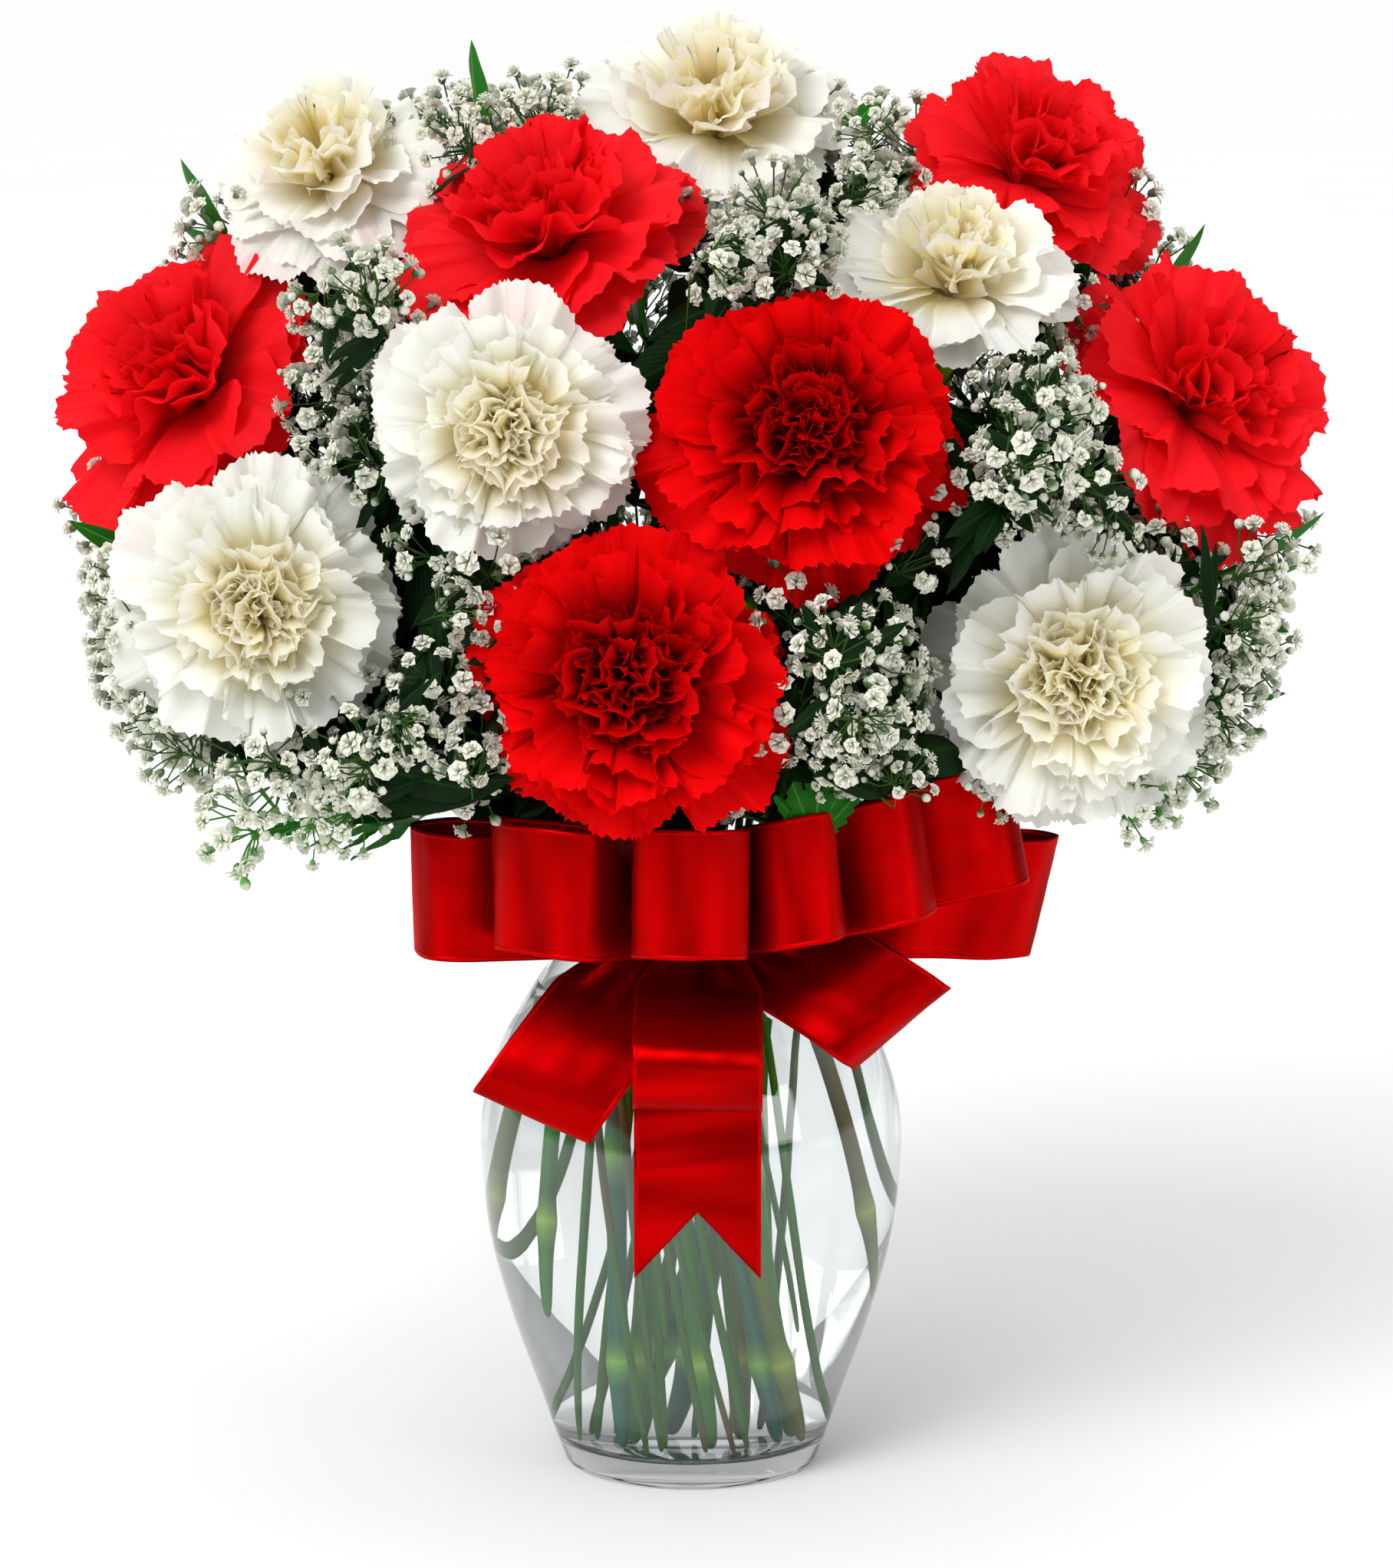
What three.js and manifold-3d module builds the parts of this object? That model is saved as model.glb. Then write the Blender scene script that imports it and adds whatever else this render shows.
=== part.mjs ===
// A dozen red and white carnations with baby's breath and cut greens in a clear glass ginger vase,
// with a red satin bow tied round the vase's neck.
// Millimetres. +Z is up, -Y is the front, and the origin is the middle of the vase's foot.
import * as THREE from "three";
import { mergeVertices } from "three/addons/utils/BufferGeometryUtils.js";
import Module from "manifold-3d";

const wasm = await Module();
wasm.setup();

// ---- Driving dimensions ---------------------------------------------------------------------

const CLEARANCE = 0.3; // gap between pieces that touch

const VASE = {
  wall: 3,
  floor: 9, // thickness of the solid glass foot
  footRadius: 38, // of the flat that it stands on
  height: 200,
  lipFlat: 1.6, // width of the flat on top of the lip
  sides: 24,
  rings: 12, // facets from the foot to the lip
  // radius and height of the outside, from the foot to the lip
  outline: [[39, 2], [42, 10], [47.5, 26], [56, 50.5], [61.8, 75], [63.7, 99], [61, 120],
    [51, 141], [40.5, 157], [36.6, 170], [38.3, 184], [44, 199]],
};

const NECK_HEIGHT = 170; // where the vase is narrowest
const EXIT_HEIGHT = 207; // where the stems leave the lip
// Rings of places for the stems in the neck, from the middle out. The very middle stays open.
const NECK_RINGS = [{ radius: 12.5 }, { radius: 21.5 }, { radius: 30 }];
const SWIRL = 1.03; // how far the stems cross each other sideways on their way down
// How far a stem leans out on its way down. Most stems cross the middle to the floor, and every second
// one of the outer ring leans out until it meets the wall.
const TO_FLOOR = -0.82;
const TO_WALL = 0.7;

const STEM = {
  radius: 2.3, node: 3.7, nodeEvery: 58, nodeHalf: 5, sides: 5,
  calyxLength: 27,
  // radius of the calyx, and height above its foot
  calyx: [[4.65, 4], [6.2, 19], [5.7, 27]],
};
const HEAD_DEPTH = 0.52; // depth of a carnation's head over its width
const HEAD_LOBES = 8;
const HEAD_RUFFLE = 0.1; // how far the head draws in between its lobes, over its radius
// Outline of a head, as shares of its radius and of its depth above the throat.
const HEAD_OUTLINE = [[0, 0], [0.14, 0], [0.72, 0.16], [1, 0.46], [0.88, 0.78], [0.48, 0.97], [0, 1]];
const EYE_LIFT = 10; // degrees above the front from which the bouquet is looked at

// A carnation: middle of its head, width, how far it opens to the front (90 is full face),
// how far its axis leans to the right, and the ring that its stem has in the neck.
const CARNATIONS = [
  { name: "white_1", at: [-109, 5, 397], width: 68, open: 45, lean: -22, ring: 1 },
  { name: "white_2", at: [8, 20, 413], width: 80, open: 42, lean: 2, ring: 0 },
  { name: "white_3", at: [76, -45, 370], width: 70, open: 42, lean: 5, ring: 0 },
  { name: "white_4", at: [-50, -100, 325], width: 79, open: 76, lean: 150, ring: 1 },
  { name: "white_5", at: [-122, -85, 273], width: 82, open: 76, lean: 150, ring: 2 },
  { name: "white_6", at: [110, -85, 252], width: 86, open: 76, lean: 150, ring: 2 },
  { name: "red_1", at: [104, 20, 398], width: 79, open: 38, lean: 30, ring: 1 },
  { name: "red_2", at: [-43, -40, 383], width: 90, open: 37, lean: -18, ring: 0 },
  { name: "red_3", at: [-154, -10, 334], width: 92, open: 40, lean: -52, ring: 2 },
  { name: "red_4", at: [155, -10, 331], width: 90, open: 38, lean: 48, ring: 2 },
  { name: "red_5", at: [33, -105, 328], width: 88, open: 80, lean: 20, ring: 1 },
  { name: "red_6", at: [-17, -125, 260], width: 90, open: 84, lean: 0, ring: 2 },
];

// The mound that the baby's breath fills: half widths, the power that squares it a little, and the
// lowest point of its face and the steepest way down to it.
const MOUND = {
  middle: 292, side: 173, front: 146, back: 114, up: 119, power: 2.6, lowest: 206, lowestCosine: -0.62,
};
// Its clusters stand in an outer layer all over, and in a deeper one between the heads in front. Each
// stands as far out, as a share of the mound, as the heads and stems before it leave it room.
const LAYERS = [
  { shares: [1, 0.94, 0.88], places: 170, hindmost: 200 },
  { shares: [0.8, 0.74, 0.68], places: 110, hindmost: 0 },
];
const BREATH = { stem: 1.4, twig: 0.8, cluster: 10.5, twigSides: 3, reach: 95, fork: 0.62 };
const FORKS = [1, 0.92, 0.84]; // places along a spray's stem that its twigs grow from
// The sprays of baby's breath: the place on the mound that each one fills, and its neck ring.
const SPRAYS = [
  { name: "babys_breath_top_left", to: [-60, 25, 400], ring: 0 },
  { name: "babys_breath_top_right", to: [55, 40, 400], ring: 0 },
  { name: "babys_breath_centre", to: [-5, -70, 372], ring: 0 },
  { name: "babys_breath_left", to: [-110, -50, 355], ring: 1 },
  { name: "babys_breath_right", to: [102, -75, 322], ring: 1 },
  { name: "babys_breath_front_left", to: [-78, -110, 255], ring: 2 },
  { name: "babys_breath_front_right", to: [48, -118, 262], ring: 2 },
  { name: "babys_breath_far_left", to: [-150, 58, 288], ring: 2 },
  { name: "babys_breath_far_right", to: [158, 48, 288], ring: 2 },
  { name: "babys_breath_back_left", to: [-75, 90, 335], ring: 1 },
  { name: "babys_breath_back_right", to: [75, 95, 335], ring: 1 },
  { name: "babys_breath_back_low", to: [0, 105, 265], ring: 2 },
];

// Cut greens: broad pointed leaves that turn round the stem, by radians a millimetre, and fern tips
// with flat pairs of leaflets. The last pair has the shortest leaves, and each pair before it adds
// the taper.
const LEAFY = { stem: 1.4, leaf: 42, width: 12, pairs: 3, apart: 15, spread: 42, taper: 0.12, turn: 0.05 };
const FERN = { stem: 1.2, leaf: 26, width: 7, pairs: 4, apart: 10, spread: 55, taper: 0.16, turn: 0 };
const LEAF_THICKNESS = 0.8;
const SHORTEST_LEAF = 0.6; // length of the last pair over the longest leaf
const LAST_LEAF = 0.65; // length of a sprig's end leaf over its longest
const LAST_LEAF_SEAT = 2; // how far the end leaf's foot lies inside the stem
const LAST_PAIR_BELOW = 6; // how far below the stem's end the last pair grows
const GREENS = [
  { name: "leaf_sprig_top_left", kind: LEAFY, tip: [-68, 20, 426], ring: 1 },
  { name: "leaf_sprig_top_right", kind: LEAFY, tip: [45, 35, 427], ring: 0 },
  { name: "leaf_sprig_left", kind: LEAFY, tip: [-156, 30, 389], ring: 1 },
  { name: "leaf_sprig_right", kind: LEAFY, tip: [158, 34, 368], ring: 1 },
  { name: "leaf_sprig_low_left", kind: LEAFY, tip: [-182, -22, 288], ring: 2 },
  { name: "leaf_sprig_low_right", kind: LEAFY, tip: [187, -20, 287], ring: 2 },
  { name: "leaf_sprig_back", kind: LEAFY, tip: [-20, 112, 372], ring: 1 },
  { name: "fern_tip_low_left", kind: FERN, tip: [-120, -58, 206], ring: 2 },
  { name: "fern_tip_front", kind: FERN, tip: [40, -117, 210], ring: 2 },
  { name: "fern_tip_low_right", kind: FERN, tip: [170, -22, 238], ring: 2 },
  { name: "fern_tip_back", kind: FERN, tip: [40, 118, 300], ring: 2 },
];

const THIN_STEM = { sides: 4, step: 30 }; // of the sprays and greens, with the length of a straight

const RIBBON = { width: 37, thickness: 0.9, pinch: 6, steps: 17 };
const KNOT = {
  at: [2, -46.9, 179],
  // radius and height above its middle
  outline: [[3.8, -12], [6.1, -6], [7.6, -2], [7.6, 5], [5.3, 12]],
};
const TIE = { inner: 38.8, thickness: 0.9, low: 173, high: 182 };
// A bow loop: bearing from the front (right is positive) and rise of its way out, length, width of
// its belly, droop of its end, lean of the ribbon's width from upright as seen from the front, and
// height of its root on the knot. The node of each is bow_loop_ and its name.
const LOOPS = [
  { name: "far_left", bearing: -78, rise: 7, length: 76, belly: 28, droop: 4, lean: 0, root: 4 },
  { name: "left", bearing: -43, rise: 15, length: 68, belly: 36, droop: 5, lean: 0, root: 4 },
  { name: "middle", bearing: -2, rise: 17, length: 66, belly: 30, droop: 5, lean: 0, root: 4 },
  { name: "right", bearing: 31, rise: 20, length: 63, belly: 21, droop: 5, lean: -6, root: 4 },
  { name: "far_right", bearing: 60, rise: 21, length: 70, belly: 24, droop: 5, lean: -9, root: 4 },
  { name: "top_right", bearing: 87, rise: 21, length: 90, belly: 25, droop: 8, lean: -12, root: 4 },
  { name: "side_right", bearing: 106, rise: 1, length: 98, belly: 14, droop: 5, lean: 14, root: 2 },
  { name: "low_left", bearing: -56, rise: -38, length: 62, belly: 14, droop: 9, lean: -66, root: -7 },
  { name: "low_middle", bearing: 0, rise: -38, length: 58, belly: 20, droop: 3, lean: 90, root: -6 },
  { name: "low_right", bearing: 66, rise: -13, length: 57, belly: 15, droop: 11, lean: 50, root: -6 },
];
const LOOP_OPENS = 1.5; // how fast a loop's ribbon opens to its full width from the pinch
const LOOP_SWAY = 0.87; // scales sin(turn) * sin(turn / 2) ** 3 to a swing of half the belly
const TAIL = {
  path: [[2, -50, 166], [2, -51, 155], [2, -57, 141], [2, -64.5, 122], [2, -67, 100], [2, -66, 73]],
  notch: 14,
  opens: 2.5,
};
// The room that the bow takes in front of the vase, which no spray or leaf enters.
const BOW_KEEP_OUT = { centre: [8, -76, 178], halves: [100, 50, 44] };

const COLOUR = {
  glass: "#dfe6e8", white: "#f1efe2", red: "#e0101a", stem: "#6f9468", breathStem: "#7f9a5c",
  leaf: "#1f5c22", fern: "#2a6a26", ribbon: "#c00404",
};

// ---- Shapes ---------------------------------------------------------------------------------

const point = (coordinates) => new THREE.Vector3(...coordinates);
const radians = THREE.MathUtils.degToRad;
const FORWARD = new THREE.Vector3(0, -1, 0);
const UP = new THREE.Vector3(0, 0, 1);
const RIGHT = new THREE.Vector3(1, 0, 0);
const TO_EYE = FORWARD.clone().applyAxisAngle(RIGHT, -radians(EYE_LIFT));

/** Keeps only the corners of a geometry and makes neighbouring faces share them. */
function weld(geometry) {
  const plain = geometry.clone();
  plain.deleteAttribute("normal");
  plain.deleteAttribute("uv");
  return mergeVertices(plain, 1e-3);
}

/** Joins closed shapes that overlap into one closed shape. */
function join(geometries) {
  const solids = geometries.map((geometry) => {
    const plain = weld(geometry);
    const triVerts = new Uint32Array(plain.index.array);
    return new wasm.Manifold(new wasm.Mesh({
      numProp: 3, vertProperties: plain.attributes.position.array, triVerts,
    }));
  });
  const { vertProperties, triVerts } = solids.reduce((whole, solid) => whole.add(solid)).getMesh();
  const joined = new THREE.BufferGeometry();
  joined.setAttribute("position", new THREE.BufferAttribute(vertProperties, 3));
  joined.setIndex(new THREE.BufferAttribute(triVerts, 1));
  return joined;
}

/** Bends a shape that stands straight along +Y, so that its length follows a curve. */
function bendAlong(geometry, curve) {
  const steps = 200;
  const length = curve.getLength();
  const frames = curve.computeFrenetFrames(steps);
  const corners = geometry.attributes.position;
  const corner = new THREE.Vector3();
  for (let i = 0; i < corners.count; i++) {
    corner.fromBufferAttribute(corners, i);
    const along = THREE.MathUtils.clamp(corner.y / length, 0, 1);
    const frame = Math.round(along * steps);
    const place = curve.getPointAt(along)
      .addScaledVector(frames.binormals[frame], corner.x)
      .addScaledVector(frames.normals[frame], corner.z);
    corners.setXYZ(i, ...place);
  }
  return geometry;
}

/** A round stem along a curve. Each station is its radius and its distance along the stem. */
function stemShape(curve, stations, sides) {
  const length = curve.getLength();
  const profile = [[0, 0], ...stations, [0, length]]
    .map(([radius, along]) => new THREE.Vector2(radius, along));
  return bendAlong(new THREE.LatheGeometry(profile, sides), curve);
}

/** Stations for a plain stem of one radius. */
function plainStations(curve, radius) {
  const length = curve.getLength();
  const count = Math.ceil(length / THIN_STEM.step);
  return Array.from({ length: count + 1 }, (_, i) => [radius, (length * i) / count]);
}

// ---- How the stems stand in the vase ---------------------------------------------------------

/** The radius of an outline, a list of radius and height, at one height. */
function radiusAt(outline, height) {
  const above = outline.findIndex(([, up]) => up >= height);
  const [[lowRadius, low], [highRadius, high]] = [outline[above - 1], outline[above]];
  return THREE.MathUtils.mapLinear(height, low, high, lowRadius, highRadius);
}

/** Where a stem is when it has gone `drop` of the way from the neck to the floor of the vase. */
function stemInVase(slot, drop, splay) {
  const height = NECK_HEIGHT - drop * (NECK_HEIGHT - VASE.floor);
  const sideways = new THREE.Vector3(-slot.y, slot.x, 0).multiplyScalar(SWIRL * drop);
  return slot.clone().multiplyScalar(1 + splay * drop).add(sideways).setZ(height);
}

/** How far down a stem goes until its edge rests on the floor, or on the flats of the wall. */
function footDrop(slot, splay, radius) {
  const depth = NECK_HEIGHT - VASE.floor;
  const slant = (slot.length() * Math.hypot(splay, SWIRL)) / depth;
  const floorDrop = 1 - (CLEARANCE + radius * slant) / depth;
  const room = (drop) => {
    const { x, y, z } = stemInVase(slot, drop, splay);
    const wall = (radiusAt(VASE.outline, z) - VASE.wall) * Math.cos(Math.PI / VASE.sides);
    return wall - Math.hypot(x, y) - radius - CLEARANCE;
  };
  const step = 0.002;
  let drop = 0.3;
  while (drop + step < floorDrop && room(drop + step) > 0) drop += step;
  return drop + step < floorDrop ? drop : floorDrop;
}

/** Spaces the stems of each ring evenly round the neck, in the order in which their tops stand. */
function assignSlots(stems) {
  const bearing = (stem) => Math.atan2(stem.top.y, stem.top.x);
  NECK_RINGS.forEach(({ radius }, ring) => {
    const bunch = stems.filter((stem) => stem.ring === ring).sort((a, b) => bearing(a) - bearing(b));
    const step = (2 * Math.PI) / bunch.length;
    const drift = bunch.reduce((sum, stem, i) => sum + bearing(stem) - i * step, 0) / bunch.length;
    bunch.forEach((stem, i) => {
      const angle = drift + i * step;
      stem.slot = new THREE.Vector3(radius * Math.cos(angle), radius * Math.sin(angle), 0);
      stem.splay = ring === NECK_RINGS.length - 1 && i % 2 ? TO_WALL : TO_FLOOR;
    });
  });
}

/** A stem's curve from its foot in the vase, through the neck, to the points above it. */
function stemCurve({ slot, splay }, radius, above) {
  const foot = footDrop(slot, splay, radius);
  const inside = [foot, foot / 2, 0].map((drop) => stemInVase(slot, drop, splay));
  const exitDrop = (NECK_HEIGHT - EXIT_HEIGHT) / (NECK_HEIGHT - VASE.floor);
  const exit = stemInVase(slot, exitDrop, TO_FLOOR);
  return new THREE.CatmullRomCurve3([...inside, exit, ...above], false, "centripetal");
}

// ---- Keeping things apart --------------------------------------------------------------------

// What already stands in the mound: functions that say if a ball is clear of one thing.
const standing = [];
const SPACING = 0.8;
const BEAD_STEP = 3;
const NEAR_FORK = 0.08; // share of a twig next to its fork that may touch other stems
const NEAR_STEM = 0.15; // share of a leaf next to its stem that may touch other things

/** Balls along a line or curve, close enough together to stand for it. */
function beads(points, radius) {
  return points.map((centre) => ({ centre, radius }));
}

function beadsAlong(curve, radius, from = 0) {
  const count = Math.ceil(curve.getLength() / BEAD_STEP);
  const share = Array.from({ length: count + 1 }, (_, i) => from + ((1 - from) * i) / count);
  return beads(share.map((u) => curve.getPointAt(u)), radius);
}

const isFree = (balls, owner) => standing.every((thing) => thing.owner === owner
  || balls.every(({ centre, radius }) => thing.clear(centre, radius)));

function standBeads(balls, owner) {
  standing.push({
    owner,
    clear: (at, radius) => balls.every((ball) => ball.centre.distanceTo(at) > ball.radius + radius + SPACING),
  });
}

function standEllipsoid(owner, centre, quaternion, halves) {
  const inverse = quaternion.clone().invert();
  standing.push({
    owner,
    clear: (at, radius) => {
      const local = at.clone().sub(centre).applyQuaternion(inverse);
      return local.divide(halves.clone().addScalar(radius + SPACING)).length() > 1;
    },
  });
}

// ---- The vase --------------------------------------------------------------------------------

function vaseShape() {
  const outline = new THREE.SplineCurve(VASE.outline.map((corner) => new THREE.Vector2(...corner)));
  const outside = outline.getPoints(VASE.rings);
  const inside = outside
    .filter(({ y }) => y > VASE.floor + VASE.wall)
    .map(({ x, y }) => new THREE.Vector2(x - VASE.wall, y))
    .reverse();
  const lip = outside.at(-1).x - VASE.wall / 2;
  const profile = [
    new THREE.Vector2(0, 0),
    new THREE.Vector2(VASE.footRadius, 0),
    ...outside,
    new THREE.Vector2(lip + VASE.lipFlat / 2, VASE.height),
    new THREE.Vector2(lip - VASE.lipFlat / 2, VASE.height),
    ...inside,
    new THREE.Vector2(VASE.footRadius, VASE.floor),
    new THREE.Vector2(0, VASE.floor),
  ];
  return new THREE.LatheGeometry(profile, VASE.sides).rotateX(Math.PI / 2);
}

// ---- Carnations ------------------------------------------------------------------------------

/** A flower's axis: turned `open` degrees to the front, the rest upright with a lean to the right. */
function flowerAxis(open, lean) {
  const front = TO_EYE.clone();
  const upright = UP.clone().applyAxisAngle(RIGHT, -radians(EYE_LIFT));
  return front.multiplyScalar(Math.sin(radians(open)))
    .addScaledVector(upright, Math.cos(radians(open)) * Math.cos(radians(lean)))
    .addScaledVector(RIGHT, Math.cos(radians(open)) * Math.sin(radians(lean)));
}

/** The ruffled ball of petals, from the throat of the calyx to its crown. */
function headShape(width) {
  const depth = width * HEAD_DEPTH;
  const profile = HEAD_OUTLINE.map(([out, up]) => new THREE.Vector2((out * width) / 2, up * depth));
  const shape = new THREE.LatheGeometry(profile, HEAD_LOBES * 2).rotateX(Math.PI / 2);
  const corners = shape.attributes.position;
  for (let i = 0; i < corners.count; i++) {
    const [x, y, z] = [corners.getX(i), corners.getY(i), corners.getZ(i)];
    const outward = Math.hypot(x, y) / (width / 2);
    const between = (1 - Math.cos(HEAD_LOBES * Math.atan2(y, x))) / 2;
    const ruffle = 1 - HEAD_RUFFLE * outward * between;
    corners.setXYZ(i, x * ruffle, y * ruffle, z);
  }
  return shape;
}

/** Stations of a carnation's stem: swollen nodes at even steps, and the long calyx at its top. */
function carnationStations(curve) {
  const length = curve.getLength();
  const calyx = length - STEM.calyxLength;
  const stations = [[STEM.radius, 0]];
  for (let node = STEM.nodeEvery / 2; node < calyx - STEM.nodeEvery / 3; node += STEM.nodeEvery) {
    stations.push([STEM.radius, node - STEM.nodeHalf], [STEM.node, node]);
    stations.push([STEM.radius, node + STEM.nodeHalf]);
    const middle = node + STEM.nodeEvery / 2;
    if (middle < calyx - STEM.nodeHalf) stations.push([STEM.radius, middle]);
  }
  stations.push([STEM.radius, calyx], ...STEM.calyx.map(([radius, up]) => [radius, calyx + up]));
  return stations;
}

// ---- Sprays of baby's breath -----------------------------------------------------------------

/** Places spread evenly over one layer of the mound, each a list from the outermost point inwards. */
function moundPlaces({ shares, places, hindmost }) {
  const golden = Math.PI * (3 - Math.sqrt(5));
  const middle = new THREE.Vector3(0, 0, MOUND.middle);
  const found = [];
  for (let i = 0; i < places; i++) {
    const z = 1 - ((1 - MOUND.lowestCosine) * (i + 0.5)) / places;
    const flat = Math.sqrt(1 - z * z);
    const way = new THREE.Vector3(flat * Math.cos(i * golden), flat * Math.sin(i * golden), z);
    const halves = [MOUND.side, way.y < 0 ? MOUND.front : MOUND.back, MOUND.up];
    const size = way.toArray().reduce((sum, part, k) => sum + Math.abs(part / halves[k]) ** MOUND.power, 0);
    const outermost = way.multiplyScalar(size ** (-1 / MOUND.power));
    found.push(shares.map((share) => middle.clone().addScaledVector(outermost, share)));
  }
  return found.filter(([{ y, z }]) => z > MOUND.lowest && y < hindmost);
}

function twigShape(from, to) {
  const line = to.clone().sub(from);
  const shape = new THREE.CylinderGeometry(BREATH.twig, BREATH.twig, line.length(), BREATH.twigSides);
  const straight = new THREE.Vector3(0, 1, 0);
  const turn = new THREE.Quaternion().setFromUnitVectors(straight, line.clone().normalize());
  const middle = from.clone().add(to).divideScalar(2);
  return shape.applyQuaternion(turn).translate(...middle);
}

/** The nearest fork of a spray from which a twig reaches a point without touching anything else. */
function forkFor(point, forks) {
  return forks
    .filter(({ from }) => from.distanceTo(point) < BREATH.reach)
    .sort((a, b) => a.from.distanceTo(point) - b.from.distanceTo(point))
    .find(({ spray, from }) => isFree([
      ...beadsAlong(new THREE.LineCurve3(from, point), BREATH.twig, NEAR_FORK),
      { centre: point, radius: BREATH.cluster },
    ], spray.name));
}

/** Whether a cluster at a place would stand before a flower, for someone who looks at the front. */
function hidesFlower(place, flowers) {
  return flowers.some(({ middle, width }) => {
    const out = place.clone().sub(middle);
    const nearer = out.dot(TO_EYE);
    return nearer > 0 && out.addScaledVector(TO_EYE, -nearer).length() < width / 2;
  });
}

/** Gives each place on the mound a twig and a cluster of florets, where a spray can reach it. */
function growClusters(sprays, flowers) {
  const forks = sprays.flatMap((spray) => FORKS.map((u) => ({ spray, from: spray.curve.getPointAt(u) })));
  for (const depths of LAYERS.flatMap(moundPlaces)) {
    const place = depths.find((depth) => !hidesFlower(depth, flowers) && forkFor(depth, forks));
    if (!place) continue;
    const { spray, from } = forkFor(place, forks);
    spray.shapes.push(twigShape(from, place));
    spray.shapes.push(new THREE.IcosahedronGeometry(BREATH.cluster).translate(...place));
    standBeads(beadsAlong(new THREE.LineCurve3(from, place), BREATH.twig), spray.name);
    standBeads(beads([place], BREATH.cluster), spray.name);
  }
}

// ---- Cut greens ------------------------------------------------------------------------------

/** A flat leaf with a point at each end, standing along +Y from the origin. */
function leafShape(length, width) {
  const outline = new THREE.Shape();
  outline.moveTo(0, 0);
  outline.quadraticCurveTo(width, length * 0.4, 0, length);
  outline.quadraticCurveTo(-width, length * 0.4, 0, 0);
  const sheet = { depth: LEAF_THICKNESS, bevelEnabled: false, curveSegments: 3 };
  return new THREE.ExtrudeGeometry(outline, sheet).translate(0, 0, -LEAF_THICKNESS / 2);
}

/** Puts leaves along the last stretch of a stem, in pairs, and one at the tip. */
function leaves(curve, kind, owner) {
  const length = curve.getLength();
  const shapes = [];
  const place = (along, angle, size) => {
    const share = Math.min(1, Math.max(0, along / length));
    const from = curve.getPointAt(share);
    const onward = curve.getTangentAt(share);
    const outward = from.clone().setZ(0).normalize();
    const flat = onward.clone().cross(outward).normalize();
    const side = flat.clone().applyAxisAngle(onward, kind.turn * along);
    const way = onward.clone().multiplyScalar(Math.cos(angle))
      .addScaledVector(side, Math.sin(angle)).normalize();
    const normal = way.clone().cross(side.cross(onward).cross(way)).normalize();
    const across = way.clone().cross(normal).normalize();
    const axis = new THREE.LineCurve3(from, from.clone().addScaledVector(way, size));
    const width = (kind.width * size) / kind.leaf;
    if (!isFree(beadsAlong(axis, width / 2, NEAR_STEM), owner)) return;
    const turn = new THREE.Matrix4().makeBasis(across, way, normal);
    shapes.push(leafShape(size, width).applyMatrix4(turn).translate(...from));
    standBeads(beadsAlong(axis, width / 2), owner);
  };
  place(length - LAST_LEAF_SEAT, 0, kind.leaf * LAST_LEAF);
  for (let pair = 0; pair < kind.pairs; pair++) {
    const along = length - LAST_PAIR_BELOW - pair * kind.apart;
    const size = kind.leaf * (SHORTEST_LEAF + kind.taper * pair);
    place(along, -radians(kind.spread), size);
    place(along - kind.apart / 2, radians(kind.spread), size);
  }
  return shapes;
}

// ---- The bow ---------------------------------------------------------------------------------

/** A ribbon along a curve: `acrossAt` gives its half width as a vector, and `notch` cuts its end. */
function ribbonShape(curve, acrossAt, notch = 0) {
  const shape = new THREE.BoxGeometry(2, 1, RIBBON.thickness, notch ? 2 : 1, RIBBON.steps, 1);
  const corners = shape.attributes.position;
  for (let i = 0; i < corners.count; i++) {
    const [side, thick] = [corners.getX(i), corners.getZ(i)];
    const share = corners.getY(i) + 0.5;
    const cutBack = share > 0.99 ? notch * (1 - Math.abs(side)) : 0;
    const onward = curve.getTangentAt(share);
    const across = acrossAt(share);
    const normal = across.clone().cross(onward).normalize();
    const place = curve.getPointAt(share)
      .addScaledVector(across, side).addScaledVector(normal, thick).addScaledVector(onward, -cutBack);
    corners.setXYZ(i, ...place);
  }
  return shape;
}

/** A loop of ribbon that leaves the knot, swings out and comes back to it. */
function loopShape({ bearing, rise, length, belly, droop, lean, root }) {
  const level = FORWARD.clone().applyAxisAngle(UP, radians(bearing));
  const outward = level.clone().multiplyScalar(Math.cos(radians(rise)))
    .addScaledVector(UP, Math.sin(radians(rise)));
  const edge = UP.clone().applyAxisAngle(FORWARD, -radians(lean));
  const swing = edge.clone().cross(outward).normalize();
  const seat = radiusAt(KNOT.outline, root) + 2 * CLEARANCE + (RIBBON.pinch / 2) * Math.abs(edge.dot(level));
  const start = point(KNOT.at).addScaledVector(level, seat).addScaledVector(UP, root);
  const half = 8;
  const points = [];
  for (let i = 0; i <= 2 * half; i++) {
    const turn = (i / half) * Math.PI;
    const out = (1 - Math.cos(turn)) / 2;
    const layer = Math.sign(half - i) * RIBBON.thickness;
    const sway = belly * LOOP_SWAY * Math.sin(turn) * Math.sin(turn / 2) ** 3 + layer;
    points.push(start.clone().addScaledVector(outward, out * length)
      .addScaledVector(swing, sway).addScaledVector(UP, -droop * out ** 2));
  }
  const curve = new THREE.CatmullRomCurve3(points, false, "centripetal");
  const halfWidth = (share) => {
    const open = Math.min(1, Math.sin(share * Math.PI) * LOOP_OPENS);
    return (RIBBON.pinch + (RIBBON.width - RIBBON.pinch) * open) / 2;
  };
  return ribbonShape(curve, (share) => edge.clone().multiplyScalar(halfWidth(share)));
}

function tailShape() {
  const curve = new THREE.CatmullRomCurve3(TAIL.path.map(point));
  const open = (share) => Math.min(1, share * TAIL.opens);
  const halfWidth = (share) => (RIBBON.pinch + (RIBBON.width - RIBBON.pinch) * open(share)) / 2;
  return ribbonShape(curve, (share) => RIGHT.clone().multiplyScalar(halfWidth(share)), TAIL.notch);
}

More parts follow.
